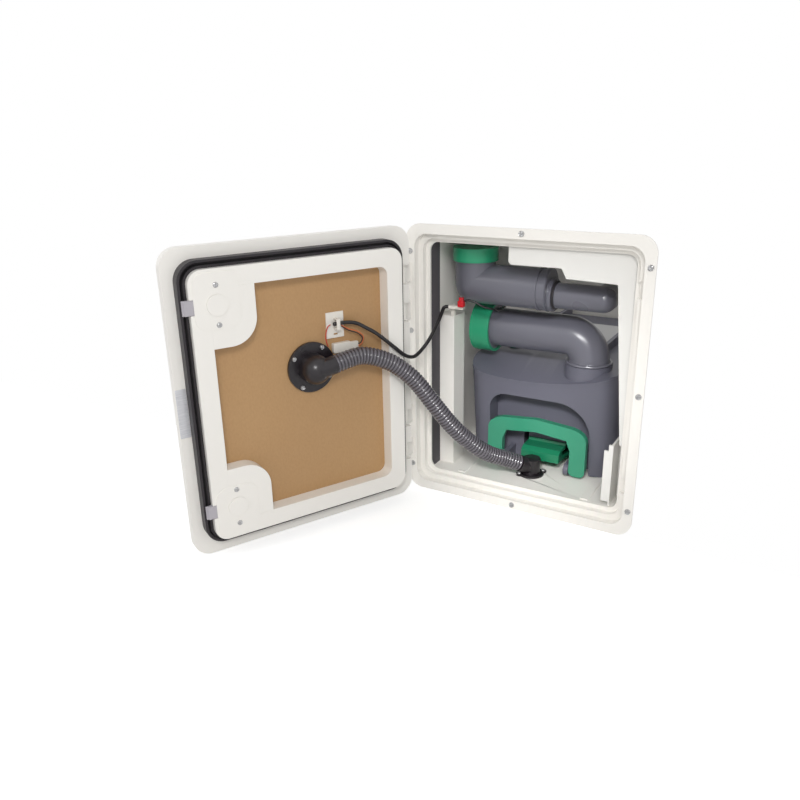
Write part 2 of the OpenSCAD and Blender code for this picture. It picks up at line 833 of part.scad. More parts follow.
module door_rim() {
  color("whitesmoke") on_door() difference() {
    union() {
      translate([door_x, 0, 0]) slab(rim_out_y, rim_in_y) rounded(door_w, door_h, door_r);
      door_knuckles();
    }
    translate([door_x, 0, 0]) slab(board_out_y, rim_in_y + cut) rounded(board_w, board_h, window_r);
    translate([door_x, 0, 0]) slab(rim_out_y - cut, board_out_y + cut)
      rounded(skin_w, skin_h, window_r);
    at_frame_knuckles()
      box(hinge_x - 3 * knuckle_r, hinge_x + notch_reach, rim_out_y - cut, rim_in_y + cut,
        -knuckle_gap, knuckle_len + knuckle_gap);
    translate([hinge_x, hinge_y, -door_h / 2]) cylinder(r = hinge_pin_r + run_fit, h = door_h);
  }
}

module lock_holes(r) {
  for (s = [-1, 1])
    translate([door_x + lock_x, 0, s * lock_z]) along_y(rim_out_y - cut, cover_y + cover_t + cut, r);
}

module door_board() {
  color([0.66, 0.51, 0.35]) on_door() difference() {
    translate([door_x, 0, 0]) slab(board_out_y, rim_in_y) rounded(board_w, board_h, window_r);
    translate([door_x + fan_x, 0, fan_z]) along_y(board_out_y - cut, rim_in_y + cut, fan_bore_r);
    lock_holes(spindle_r + slide_fit);
  }
}

module outer_skin() {
  color("white") on_door() difference() {
    translate([door_x, 0, 0]) slab(board_out_y - skin_t, board_out_y)
      rounded(skin_w, skin_h, window_r);
    translate([door_x + fan_x, 0, fan_z])
      along_y(board_out_y - skin_t - cut, board_out_y + cut, fan_bore_r);
    lock_holes(spindle_r + slide_fit);
  }
}

module tongue_slots() {
  for (s = [-1, 1])
    box(door_x + window_w / 2 - cut, door_x + ring_w / 2 + cut, tongue_y - 0.2, ring_top_y + cut,
      s * lock_z - tongue_h / 2 - slide_fit, s * lock_z + tongue_h / 2 + slide_fit);
}

module door_ring() {
  color("whitesmoke") on_door() difference() {
    translate([door_x, 0, 0]) slab(rim_in_y, ring_top_y) rounded(ring_w, ring_h, ring_r);
    translate([door_x, 0, 0]) slab(rim_in_y - cut, ring_top_y + cut)
      rounded(window_w, window_h, window_r);
    translate([door_x, 0, 0]) difference() {
      slab(rim_in_y - cut, ring_top_y - 3 * ring_wall)
        rounded(ring_w - 2 * ring_wall, ring_h - 2 * ring_wall, ring_r - ring_wall);
      slab(rim_in_y - 2 * cut, ring_top_y)
        rounded(window_w + 2 * ring_wall, window_h + 2 * ring_wall, window_r + ring_wall);
    }
    tongue_slots();
    at_lock_screws() along_y(ring_top_y - lock_screw_len - 1, ring_top_y + cut, lock_screw_r);
  }
}

// The ring's outline, larger by grow on every side and moved towards the free top corner
module seal_outline(grow, shift) {
  translate([shift, shift]) rounded(ring_w + 2 * grow, ring_h + 2 * grow, ring_r + grow);
}

// A base, a tall outer lip that meets the frame, and a lower lip against the ring
module door_seal() {
  mean = (seal_w + seal_far_w) / 2;
  shift = (seal_w - seal_far_w) / 2;
  color([0.1, 0.1, 0.1]) on_door() translate([door_x, 0, 0]) {
    slab(rim_in_y, rim_in_y + seal_base_t) difference() {
      seal_outline(mean, shift);
      seal_outline(0, 0);
    }
    slab(rim_in_y, seal_top_y) difference() {
      seal_outline(mean, shift);
      seal_outline(mean - seal_lip, shift);
    }
    slab(rim_in_y, seal_top_y - seal_step) difference() {
      seal_outline(seal_lip, 0);
      seal_outline(0, 0);
    }
  }
}

module foil_label() {
  color("silver") on_door()
    box(door_x + door_w / 2 - label_w - label_edge, door_x + door_w / 2 - label_edge,
      rim_in_y, rim_in_y + 0.4, -label_h / 2, label_h / 2);
}

module at_lock_screws() {
  for (s = [-1, 1], k = [-1, 1])
    translate([door_x + lock_x, 0, s * lock_z + k * lock_screw_z]) children();
}

module housing_outline(inset) {
  x1 = window_w / 2;
  z1 = window_h / 2;
  r = housing_r - inset;
  difference() {
    union() {
      translate([x1 - housing_w + inset + r, z1 - housing_h + inset])
        square([housing_w - 2 * inset - r, housing_h - 2 * inset]);
      translate([x1 - housing_w + inset, z1 - housing_h + inset + r])
        square([housing_w - 2 * inset, housing_h - 2 * inset - r]);
      intersection() {
        translate([x1 - housing_w + inset, z1 - housing_h + inset]) square(r);
        translate([x1 - housing_w + inset + r, z1 - housing_h + inset + r]) circle(r);
      }
    }
    // the window's own rounded corner
    difference() {
      translate([x1 - window_r, z1 - window_r]) square(window_r + 1);
      translate([x1 - window_r, z1 - window_r]) circle(window_r);
    }
  }
}

module one_lock_housing() {
  difference() {
    slab(rim_in_y, ring_top_y) housing_outline(0);
    slab(rim_in_y + housing_wall, ring_top_y - housing_wall) housing_outline(housing_wall);
    translate([lock_x, 0, lock_z]) along_y(rim_in_y - cut, ring_top_y + cut, spindle_r + slide_fit);
    box(tongue_tip_x - door_x - tongue_len - tongue_travel - 1, ring_w, tongue_y - 0.2,
      ring_top_y + cut, lock_z - tongue_h / 2 - slide_fit, lock_z + tongue_h / 2 + slide_fit);
    for (k = [-1, 1])
      translate([lock_x, 0, lock_z + k * lock_screw_z])
        along_y(ring_top_y - lock_screw_len - 1, ring_top_y + cut, lock_screw_r);
  }
}

module lock_housings() {
  color("whitesmoke") on_door() translate([door_x, 0, 0]) {
    one_lock_housing();
    mirror([0, 0, 1]) one_lock_housing();
  }
}

// Thin plates that close the lock housings; they sit a little outwards of the spindles
module lock_covers() {
  color("whitesmoke") on_door() difference() {
    for (s = [-1, 1])
      translate([door_x + lock_x, 0, s * (lock_z + cover_rise)])
        slab(cover_y, cover_y + cover_t) rounded(cover_w, cover_h, cover_r);
    lock_holes(spindle_r + slide_fit);
    at_lock_screws() along_y(cover_y - cut, cover_y + cover_t + cut, lock_screw_r);
  }
}

module lock_screws() {
  color("silver") on_door() at_lock_screws() {
    along_y(cover_y + cover_t, cover_y + cover_t + 1.6, 3.4);
    along_y(cover_y - lock_screw_len, cover_y + cover_t + eps, lock_screw_r);
  }
}

// Outside knob, spindle and the round boss that shows inside, all in one turning piece
module one_knob(s) {
  color("whitesmoke") on_door() translate([door_x + lock_x, 0, s * lock_z]) {
    along_y(rim_out_y - knob_h / 3, board_out_y - skin_t - slide_fit, knob_r);
    translate([0, rim_out_y - knob_h, 0]) box(-4, 4, 0, knob_h, -knob_r + 1, knob_r - 1);
    along_y(board_out_y - skin_t - cut, cover_y + cover_t + boss_rise, spindle_r);
    along_y(cover_y + cover_t + slide_fit, cover_y + cover_t + boss_rise, boss_r);
  }
}

module one_tongue(s) {
  color("darkgray") on_door() difference() {
    box(tongue_tip_x - tongue_len, tongue_tip_x, tongue_y, tongue_y + tongue_t,
      s * lock_z - tongue_h / 2, s * lock_z + tongue_h / 2);
    box(tongue_tip_x - 2, tongue_tip_x + cut, tongue_y + tongue_t - 2, tongue_y + tongue_t + cut,
      s * lock_z - tongue_h, s * lock_z + tongue_h);
  }
}

// ---------- fan ----------

module at_fan() {
  on_door() translate([door_x + fan_x, 0, fan_z]) children();
}

module at_fan_screws() {
  for (a = [0 : 90 : 270])
    rotate([0, a + fan_screw_turn, 0]) translate([fan_screw_ring, 0, 0]) children();
}

module fan_outer() {
  along_y(rim_in_y, rim_in_y + fan_flange_t, fan_flange_r);
  along_y(rim_in_y, fan_dome_y, fan_dome_r);
  translate([0, fan_dome_y, 0]) sphere(fan_dome_r);
  translate([0, fan_axis_y, 0]) rotate([0, 180 + fan_mouth_tilt, 0])
    along_x(0, fan_mouth_len, fan_mouth_r);
}

module fan_housing() {
  inner = fan_dome_r - fan_wall;
  color([0.06, 0.06, 0.07]) at_fan() {
    difference() {
      fan_outer();
      along_y(rim_in_y - fan_dome_r * 2, fan_dome_y, inner);
      translate([0, fan_dome_y, 0]) sphere(inner);
      translate([0, fan_axis_y, 0]) rotate([0, 180 + fan_mouth_tilt, 0])
        along_x(0, fan_mouth_len + cut, hose_bore_r);
      at_fan_screws() along_y(rim_in_y - cut, rim_in_y + fan_flange_t + cut, 1.6);
      slab(rim_in_y - 2 * fan_dome_r, rim_in_y) square(4 * fan_flange_r, center = true);
    }
    for (a = [0 : 120 : 240])
      rotate([0, a, 0]) box(motor_r, inner + 1, rim_in_y + 1, rim_in_y + 3, -1.5, 1.5);
  }
}

module fan_screws() {
  color("silver") at_fan() at_fan_screws() {
    along_y(rim_in_y + fan_flange_t, rim_in_y + fan_flange_t + 2, 3.2);
    along_y(rim_in_y, rim_in_y + fan_flange_t + eps, 1.6);
  }
}

module fan_motor() {
  color("dimgray") at_fan() difference() {
    along_y(rim_in_y + 1, rim_in_y + 1 + motor_len, motor_r);
    along_y(rim_in_y, rim_in_y + 1 + motor_len - 3, 1.5 + run_fit);
  }
}

module fan_impeller() {
  color([0.15, 0.15, 0.15]) at_fan() {
    along_y(board_out_y + 1.5, rim_in_y, impeller_hub_r);
    along_y(rim_in_y - eps, rim_in_y + motor_len - 4, 1.5);
    for (i = [0 : blade_count - 1])
      rotate([0, 360 * i / blade_count, 0])
        translate([impeller_hub_r - 1, (board_out_y + rim_in_y) / 2 + 0.5, 0]) rotate([30, 0, 0])
          box(0, impeller_r - impeller_hub_r, -0.7, 0.7, -5, 5);
  }
}

module vent_cover() {
  y0 = board_out_y - skin_t;
  color("whitesmoke") at_fan() difference() {
    slab(y0 - vent_rise, y0) rounded(vent_w, vent_w, 12);
    slab(y0 - vent_rise + 2, y0 + cut) rounded(vent_w - 5, vent_w - 5, 10);
    for (i = [0 : vent_slots - 1])
      translate([0, 0, (i - (vent_slots - 1) / 2) * 8.5])
        box(-32, 32, y0 - vent_rise - cut, y0 - vent_rise + 2 + cut, -2, 2);
  }
}

module filter_pad() {
  y0 = board_out_y - skin_t;
  color([0.2, 0.2, 0.22]) at_fan() slab(y0 - vent_rise + 2, y0 - 1)
    rounded(vent_w - 5.4, vent_w - 5.4, 9.8);
}

// ---------- pieces on the board ----------

module tie_mount() {
  color("ivory") on_door() difference() {
    box(-64, -38, rim_in_y, rim_in_y + 2, 62, 97);
    box(-54.5, -48.5, rim_in_y - cut, rim_in_y + 3, 66, 68.5);
  }
}

module cable_tie() {
  color("ivory") on_door() difference() {
    box(-54, -49, rim_in_y + 2, 5.4, 74, 89);
    box(-55, -48, rim_in_y + 2 - cut, 4, 75.5, 87.5);
  }
}

module wire_connectors() {
  color("ivory") on_door() {
    box(-71, -45, rim_in_y, 1, 42, 55);
    box(-84, -71 + eps, rim_in_y, -1, 44, 53);
  }
}

module fan_wires() {
  color("firebrick") on_door() cord(wire_route, wire_r, 6, 8);
}

// ---------- waste tank ----------

// The tank's block, whose front leans forward, larger by grow on every side
module tank_block(grow) {
  long = tank_len + 60;
  intersection() {
    translate([tank_x, tank_y, tank_bottom_z]) rotate([tank_lean, 0, 0])
      translate([0, long / 2 - grow, -60]) linear_extrude(tank_h + 120)
        rounded(tank_w + 2 * grow, long, tank_r + grow);
    translate([tank_x, tank_y + tank_len + grow - long / 2, tank_bottom_z]) linear_extrude(tank_h)
      rounded(tank_w + 2 * grow + 2 * eps, long, tank_r + grow);
  }
}

// What is cut away above the seam: a wide trough that slopes up to the back
module shoulder_space() {
  translate([seam_x, seam_y, seam_z + seam_t]) rotate([shoulder_slope, 0, 0])
    translate([0, 0, seam_sweep]) along_y(-120, tank_len, seam_sweep);
}

module seam_ridge() {
  intersection() {
    tank_block(seam_rise);
    translate([seam_x, 0, seam_z + seam_sweep]) difference() {
      along_y(0, tank_y + tank_len + cut, seam_sweep + seam_t);
      along_y(-cut, tank_y + tank_len + 2 * cut, seam_sweep - seam_t);
    }
  }
}

module arch_outline() {
  top = tank_bottom_z + arch_h;
  low = tank_bottom_z - cut;
  left = -arch_w / 2;
  right = arch_w / 2;
  translate([left, low]) square([arch_w, arch_h - arch_right_r + cut]);
  translate([left, low]) square([arch_w / 2, arch_h - arch_left_r + cut]);
  translate([left + arch_left_r, low])
    square([arch_w - arch_left_r - arch_right_r, arch_h + cut]);
  translate([left + arch_left_r, top - arch_left_r]) circle(arch_left_r);
  translate([right - arch_right_r, top - arch_right_r]) circle(arch_right_r);
}

module tank_lugs() {
  leg_in = handle_w / 2 - handle_leg - slide_fit;
  for (s = [-1, 1])
    difference() {
      union() {
        translate([s * (leg_in - lug_w / 2), 0, handle_pivot_z]) {
          box(-lug_w / 2, lug_w / 2, handle_mid_y, tank_y + arch_d + 1, -9, 9);
          translate([0, handle_mid_y, 0]) along_x(-lug_w / 2, lug_w / 2, 9);
        }
      }
      translate([0, handle_mid_y, handle_pivot_z]) along_x(-handle_w, handle_w, handle_pin_r);
    }
}

module tank_cavity() {
  front = tank_y + arch_d + tank_wall;
  low = tank_bottom_z + channel_h + tank_wall;
  y1 = tank_y + tank_len - tank_wall;
  x0 = tank_left_x + tank_wall;
  x1 = tank_left_x + tank_w - tank_wall;
  box(x0, x1, front, y1, low, tank_top_z - tank_wall);
  box(x0, channel_x - channel_w / 2 - tank_wall, front, y1, tank_bottom_z + tank_wall, low + eps);
  box(channel_x + channel_w / 2 + tank_wall, x1, front, y1, tank_bottom_z + tank_wall, low + eps);
}

module waste_tank() {
  front = tank_y - 40;
  color("slategray") {
    difference() {
      union() {
        difference() {
          union() {
            tank_block(0);
            seam_ridge();
          }
          shoulder_space();
        }
        translate([spout_x, spout_y, seam_z - 20])
          cylinder(r = collar_r, h = boss_top_z - seam_z + 20);
        for (s = [-1, 1])
          box(mouth_x + s * (cover_plate_w / 2 + slide_fit + rail_w / 2) - rail_w / 2,
            mouth_x + s * (cover_plate_w / 2 + slide_fit + rail_w / 2) + rail_w / 2,
            mouth_y - 75, tank_y + tank_len - 2, tank_top_z - 1, tank_top_z + 14);
      }
      slab(front, tank_y + arch_d) arch_outline();
      box(channel_x - channel_w / 2, channel_x + channel_w / 2, front, tank_y + tank_len + cut,
        tank_bottom_z - cut, tank_bottom_z + channel_h);
      difference() {
        tank_cavity();
        translate([0, 0, -tank_wall / cos(shoulder_slope)]) shoulder_space();
      }
      translate([spout_x, spout_y, seam_z - 10])
        cylinder(r = spout_r - spout_wall, h = boss_top_z - seam_z + 10 + cut);
      translate([mouth_x, mouth_y, tank_top_z - 2 * tank_wall]) cylinder(r = mouth_r, h = 40);
      translate([button_x, button_y, tank_top_z - 2 * tank_wall])
        cylinder(r = button_r + run_fit, h = 40);
    }
    tank_lugs();
    // rib that the catch holds
    box(channel_x - channel_w / 2 + 8, channel_x + channel_w / 2 - 8, tank_y + arch_d,
      tank_y + arch_d + 5, catch_top_z + 1, tank_bottom_z + channel_h + eps);
  }
}

module spout_collar() {
  color("slategray") translate([spout_x, spout_y, boss_top_z]) difference() {
    cylinder(r = collar_r, h = collar_h);
    translate([0, 0, -cut]) cylinder(r = skirt_r + run_fit, h = collar_h + 2 * cut);
  }
}

module mouth_seal() {
  color([0.12, 0.12, 0.12]) translate([mouth_x, mouth_y, tank_top_z]) difference() {
    cylinder(r = mouth_r + 8, h = 6);
    translate([0, 0, -cut]) cylinder(r = mouth_r, h = 8);
  }
}

module sliding_cover() {
  z0 = tank_top_z + 6 + slide_fit;
  color("lightgray") {
    translate([mouth_x, mouth_y, z0 + 2]) cube([cover_plate_w, cover_plate_w, 4], center = true);
    translate([mouth_x, mouth_y - cover_plate_w / 2 + 6, z0 + 8 - eps])
      cube([cover_grip_w, 8, 8], center = true);
  }
}

module vent_button() {
  color("seagreen") translate([button_x, button_y, tank_top_z - tank_wall]) {
    cylinder(r = button_r, h = tank_wall + 5);
    translate([0, 0, -3]) cylinder(r = 4, h = 3 + eps);
  }
}

// ---------- spout ----------

// A short neck, a quarter bend and a straight run to the left, which meet face to face
module spout_path(r, x_end) {
  translate([spout_x, spout_y, boss_top_z + slide_fit])
    cylinder(r = r, h = spout_z - spout_bend - boss_top_z - slide_fit);
  translate([spout_x - spout_bend, spout_y, spout_z - spout_bend]) rotate([90, 0, 0])
    rotate_extrude(angle = 90) translate([spout_bend, 0]) circle(r);
  translate([0, spout_y, spout_z]) along_x(x_end, spout_x - spout_bend, r);
}

module swivel_spout() {
  cap_x = spout_x - spout_reach;
  end_x = cap_x + 3 + slide_fit;
  bore = spout_r - spout_wall;
  color("slategray") difference() {
    union() {
      spout_path(spout_r, end_x);
      translate([spout_x, spout_y, boss_top_z + slide_fit]) cylinder(r = skirt_r, h = skirt_h);
      translate([0, spout_y, spout_z]) along_x(end_x, end_x + spout_cap_w - 5, spout_cap_r - 4);
    }
    spout_path(bore, end_x);
    translate([0, spout_y, spout_z]) along_x(end_x - cut, end_x + cut, bore);
    translate([spout_x, spout_y, boss_top_z - 5]) cylinder(r = bore, h = 10);
  }
}

module spout_cap() {
  cap_x = spout_x - spout_reach;
  color("seagreen") translate([0, spout_y, spout_z]) difference() {
    along_x(cap_x, cap_x + spout_cap_w, spout_cap_r);
    along_x(cap_x + 3, cap_x + spout_cap_w + cut, spout_cap_r - 4 + run_fit);
  }
}

// ---------- handle ----------

module handle_half() {
  leg_x = handle_w / 2 - handle_leg;
  top_z = -floor_z + handle_top;
  slab(handle_y, handle_y + handle_t) {
    translate([leg_x, handle_pivot_z]) square([handle_leg, top_z - 8 - handle_pivot_z - 14]);
    translate([leg_x + 8, handle_pivot_z - 8]) square([handle_leg - 16, 9]);
    for (x = [leg_x + 8, leg_x + handle_leg - 8]) translate([x, handle_pivot_z]) circle(8);
    polygon([[0, top_z], [handle_w / 2 - 22, top_z - 5], [handle_w / 2 - 22, top_z - 26], [0, top_z - 20]]);
    polygon([[handle_w / 2 - 22.1, top_z - 5], [handle_w / 2 - 12, top_z - 8],
      [handle_w / 2 - 12, top_z - 28], [leg_x, top_z - 40], [leg_x - 6, top_z - 24.8],
      [leg_x, top_z - 5]]);
    translate([handle_w / 2 - 18, top_z - 25.5]) intersection() {
      circle(18);
      square(18);
    }
  }
}

module tank_handle() {
  color("mediumseagreen") difference() {
    union() {
      handle_half();
      mirror([1, 0, 0]) handle_half();
    }
    translate([0, handle_mid_y, handle_pivot_z])
      along_x(-handle_w, handle_w, handle_pin_r + run_fit);
  }
}

module handle_pins() {
  leg_in = handle_w / 2 - handle_leg - slide_fit;
  color("silver") translate([0, handle_mid_y, handle_pivot_z]) for (s = [-1, 1])
    translate([s > 0 ? leg_in - lug_w : -leg_in - handle_leg - slide_fit, 0, 0])
      along_x(0, lug_w + handle_leg + slide_fit, handle_pin_r);
}

// ---------- filler ----------

module filler_path(r_up, r_arm, x_end, z_end) {
  translate([filler_x, filler_y, filler_mid_z]) {
    cylinder(r = r_up, h = z_end - filler_mid_z);
    sphere(r_up);
  }
  translate([0, filler_y, filler_mid_z]) along_x(filler_x, x_end, r_arm);
}

module filler_arm() {
  top_z = filler_cap_top - 3 - slide_fit;
  color("slategray") difference() {
    union() {
      filler_path(upright_r, filler_r, filler_end_x - 6, top_z);
      translate([0, filler_y, filler_z]) along_x(filler_end_x - 16, filler_end_x, inlet_r + 5);
      for (x = [filler_end_x - 22, filler_end_x - 10])
        translate([0, filler_y, filler_mid_z]) along_x(x, x + bead_w, filler_r + bead_rise);
    }
    filler_path(upright_r - filler_wall, filler_r - filler_wall, filler_end_x - 10, top_z + cut);
    translate([0, filler_y, filler_z])
      along_x(filler_end_x - 30, filler_end_x + cut, inlet_r + run_fit);
  }
}

module filler_cap() {
  z0 = filler_cap_top - filler_cap_h;
  color("seagreen") translate([filler_x, filler_y, z0]) difference() {
    cylinder(r = filler_cap_r, h = filler_cap_h);
    translate([0, 0, -cut]) cylinder(r = upright_r + run_fit, h = filler_cap_h - 3 + cut);
  }
}

module filler_seal() {
  color([0.1, 0.1, 0.1]) translate([0, filler_y, filler_z]) difference() {
    along_x(filler_end_x + slide_fit, filler_end_x + 3, inlet_r + 2);
    along_x(filler_end_x - cut, filler_end_x + 3 + cut, inlet_r);
  }
}

wall_frame();
flange_screws();
hinge_pins();
foam_lining();
compartment_tray();
corner_post();
blanking_panel();
guide_bracket();
side_baffle();
baffle_trim();
flush_water_tank();
inlet_pipe();
floor_elbow();
floor_elbow_screws();
catch_bracket();
catch_pin();
connector_bracket();
red_connector();
switch_lead();
vent_hose();
fan_cable();
retention_catch();
door_rim();
door_board();
outer_skin();
door_ring();
door_seal();
foil_label();
lock_housings();
lock_covers();
lock_screws();
fan_housing();
fan_screws();
fan_motor();
vent_cover();
filter_pad();
tie_mount();
cable_tie();
wire_connectors();
fan_wires();
one_knob(1);  // upper_knob
one_knob(-1);  // lower_knob
one_tongue(1);  // upper_tongue
one_tongue(-1);  // lower_tongue
fan_impeller();
waste_tank();
spout_collar();
mouth_seal();
sliding_cover();
vent_button();
swivel_spout();
spout_cap();
tank_handle();
handle_pins();
filler_arm();
filler_cap();
filler_seal();
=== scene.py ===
# %% [markdown]
# # A caravan service hatch with its tank and vent hose
# The hatch is a moulded frame that is screwed into a caravan's wall. Its door stands open on
# the left, with a fan and a ribbed hose, and behind the frame a tank waits to be pulled out.
# The rigid pieces come from the CAD frame. Blender adds soft edges, finishes, hose, cables
# and small fasteners.

# %% Load the frame
import json
import math
import bpy
import bmesh
import numpy as np
from mathutils import Matrix, Vector

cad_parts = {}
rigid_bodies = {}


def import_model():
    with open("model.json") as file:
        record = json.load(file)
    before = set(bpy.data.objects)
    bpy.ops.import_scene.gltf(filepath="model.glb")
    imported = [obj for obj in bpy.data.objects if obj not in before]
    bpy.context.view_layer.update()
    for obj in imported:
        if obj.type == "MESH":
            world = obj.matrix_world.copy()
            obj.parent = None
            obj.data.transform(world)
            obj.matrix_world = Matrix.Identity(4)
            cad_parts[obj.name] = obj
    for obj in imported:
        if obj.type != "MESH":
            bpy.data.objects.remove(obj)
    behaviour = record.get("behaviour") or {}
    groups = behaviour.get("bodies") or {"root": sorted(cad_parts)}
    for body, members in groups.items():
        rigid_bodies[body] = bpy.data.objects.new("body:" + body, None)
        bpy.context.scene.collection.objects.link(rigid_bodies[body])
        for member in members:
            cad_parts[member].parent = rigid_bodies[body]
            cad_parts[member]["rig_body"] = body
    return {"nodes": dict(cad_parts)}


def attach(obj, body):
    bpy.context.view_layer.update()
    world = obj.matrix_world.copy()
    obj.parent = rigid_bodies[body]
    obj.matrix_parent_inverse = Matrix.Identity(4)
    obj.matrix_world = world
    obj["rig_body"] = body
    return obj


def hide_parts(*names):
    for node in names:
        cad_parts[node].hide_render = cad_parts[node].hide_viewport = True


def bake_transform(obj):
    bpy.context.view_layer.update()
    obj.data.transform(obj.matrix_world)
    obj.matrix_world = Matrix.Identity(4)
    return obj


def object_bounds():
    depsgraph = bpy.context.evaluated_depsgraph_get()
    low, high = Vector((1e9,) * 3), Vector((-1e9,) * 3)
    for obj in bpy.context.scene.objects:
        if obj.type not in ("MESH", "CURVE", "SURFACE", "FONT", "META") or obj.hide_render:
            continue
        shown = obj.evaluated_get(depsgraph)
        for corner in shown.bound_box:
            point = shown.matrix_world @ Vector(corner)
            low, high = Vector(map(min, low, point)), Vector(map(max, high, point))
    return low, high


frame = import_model()
cad_box = [list(corner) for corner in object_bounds()]
scene = bpy.context.scene
nodes = frame["nodes"]

# %% [markdown]
# ## Camera
# A lens of 33.5 mm on a 36 mm sensor stands a metre in front of the hatch and looks down on it
# by 20 degrees from the right. The rotation is given by its three axes, because the camera is
# also rolled by about one degree.

# %% Camera
sensor_width, focal_pixels, picture_width = 36.0, 743.785, 800
camera_place = (0.360004, -0.907674, 0.321408)
camera = bpy.data.objects.new("camera", bpy.data.cameras.new("camera"))
scene.collection.objects.link(camera)
camera.data.sensor_width = sensor_width
camera.data.lens = sensor_width * focal_pixels / picture_width
right = Vector((0.859784, 0.510312, -0.018770))
down = Vector((0.159427, -0.303162, -0.939508))
ahead = Vector((-0.485133, 0.804782, -0.342012))
turn = Matrix((right, -down, -ahead)).transposed().to_4x4()
camera.matrix_world = Matrix.Translation(camera_place) @ turn
scene.camera = camera
print("lens", round(camera.data.lens, 2), "mm")

# %% [markdown]
# ## Shared helpers
# Every route is a smooth curve through a few points. A Catmull-Rom curve passes through all of
# its points, so the hose and the cables lie exactly where their solids lie.

# %% Smooth routes
def smooth_route(points, steps=8):
    """Points in millimetres to a dense route in metres."""
    p = np.array(points, float) / 1000
    out = []
    for i in range(len(p) - 1):
        a, b, c, d = p[max(i - 1, 0)], p[i], p[i + 1], p[min(i + 2, len(p) - 1)]
        for k in range(steps):
            t = k / steps
            out.append(0.5 * (2 * b + (c - a) * t + (2 * a - 5 * b + 4 * c - d) * t * t
                              + (3 * b - a - 3 * c + d) * t ** 3))
    out.append(p[-1])
    return np.array(out)


def route_lengths(route):
    return np.concatenate([[0], np.cumsum(np.linalg.norm(np.diff(route, axis=0), axis=1))])


door_turn, hinge_x, hinge_y = math.radians(-116.4), -168.0, -17.5


def on_door(points):
    """Swings points drawn on the closed door to the open door. Millimetres."""
    p = np.array(points, float).reshape(-1, 3)
    x, y = p[:, 0] - hinge_x, p[:, 1] - hinge_y
    c, s = math.cos(door_turn), math.sin(door_turn)
    return np.stack([hinge_x + c * x - s * y, hinge_y + s * x + c * y, p[:, 2]], 1)


# %% [markdown]
# A tube is a row of rings along a route. Each ring is turned from the one before it by the
# smallest angle, so that the tube never twists. Its UV map runs along the tube in U and round
# it in V, and a finish can follow it.

# %% Tubes
def new_mesh_object(name, vertices, faces, smooth=True):
    mesh = bpy.data.meshes.new(name)
    mesh.from_pydata([tuple(v) for v in vertices], [], faces)
    mesh.update()
    mesh.polygons.foreach_set("use_smooth", [smooth] * len(mesh.polygons))
    made = bpy.data.objects.new(name, mesh)
    scene.collection.objects.link(made)
    return made


def tube(name, route, stations, sides):
    """stations: rows of (distance, radius). Both ends are closed."""
    lengths = route_lengths(route)
    where = np.array([s for s, _ in stations])
    centres = np.stack([np.interp(where, lengths, route[:, k]) for k in range(3)], 1)
    ahead_of = np.gradient(route, lengths, axis=0)
    headings = np.stack([np.interp(where, lengths, ahead_of[:, k]) for k in range(3)], 1)
    headings /= np.linalg.norm(headings, axis=1)[:, None]
    side = np.cross(headings[0], (0, 0, 1))
    vertices, along = [], []
    for i, (centre, heading) in enumerate(zip(centres, headings)):
        side = side - heading * side.dot(heading)
        side /= np.linalg.norm(side)
        up = np.cross(heading, side)
        for k in range(sides):
            a = 2 * math.pi * k / sides
            vertices.append(centre + stations[i][1] * (math.cos(a) * side + math.sin(a) * up))
            along.append(where[i] / lengths[-1])
    faces = []
    for i in range(len(stations) - 1):
        for k in range(sides):
            a, b = i * sides + k, i * sides + (k + 1) % sides
            faces.append((a, b, b + sides, a + sides))
    last = (len(stations) - 1) * sides
    faces.append(tuple(range(sides - 1, -1, -1)))
    faces.append(tuple(range(last, last + sides)))
    made = new_mesh_object(name, vertices, faces)
    uv = made.data.uv_layers.new(name="along")
    for polygon in made.data.polygons:
        for loop, vertex in zip(polygon.loop_indices, polygon.vertices):
            uv.data[loop].uv = (along[vertex], (vertex % sides) / sides)
    return made


# %% [markdown]
# ## The ribbed vent hose
# The real hose is a thin tube with a closely wound rib. Each rib is a small round hill, so the
# light breaks up into a row of bright dots. Eight rings a rib give it that roundness.

# %% Vent hose
hose_route = smooth_route([
    (-196.2, -149.7, 32.2), (-190.9, -139.1, 34.3), (-185.7, -128.5, 36.4), (-177, -114, 37.5),
    (-165, -99, 33), (-152, -84, 24), (-142, -74, 14), (-131, -64, 1), (-121, -55, -15),
    (-110, -46, -35), (-99, -37, -55), (-89, -27, -74), (-78, -16, -92), (-68, -4, -107),
    (-57, 8, -121), (-47, 21, -132), (-38, 32, -139), (-29.7, 42.3, -144.4),
    (-22, 50, -149.5), (-14.4, 57.6, -154.5)])
hose_length = route_lengths(hose_route)[-1]
rib_count, rib_radius, valley_radius = 72, 0.0123, 0.0110
rings_a_rib, hose_sides, rib_fullness = 8, 32, 0.7
hose_rings = rib_count * rings_a_rib
hose_stations = []
for i in range(hose_rings + 1):
    lift = (0.5 - 0.5 * math.cos(2 * math.pi * i / rings_a_rib)) ** rib_fullness
    hose_stations.append((hose_length * i / hose_rings,
                          valley_radius + (rib_radius - valley_radius) * lift))
vent_hose = tube("ribbed_hose", hose_route, hose_stations, hose_sides)
# The rib attribute is each ring's height; the hose finish paints shade into the low rings from
# it.
rib_shade = vent_hose.data.attributes.new("rib", "FLOAT", "POINT")
rib_shade.data.foreach_set("value", [
    (r - valley_radius) / (rib_radius - valley_radius) for _, r in hose_stations
    for _ in range(hose_sides)])
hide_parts("vent_hose")
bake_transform(vent_hose)
print("hose", round(hose_length * 1000), "mm,", rib_count, "ribs")

# %% [markdown]
# ## The cable and the leads
# A black sheathed cable runs from the fan to a connector on the frame, and a thin lead goes on
# from there into the compartment. Both are plain round tubes whose ends are rounded off.

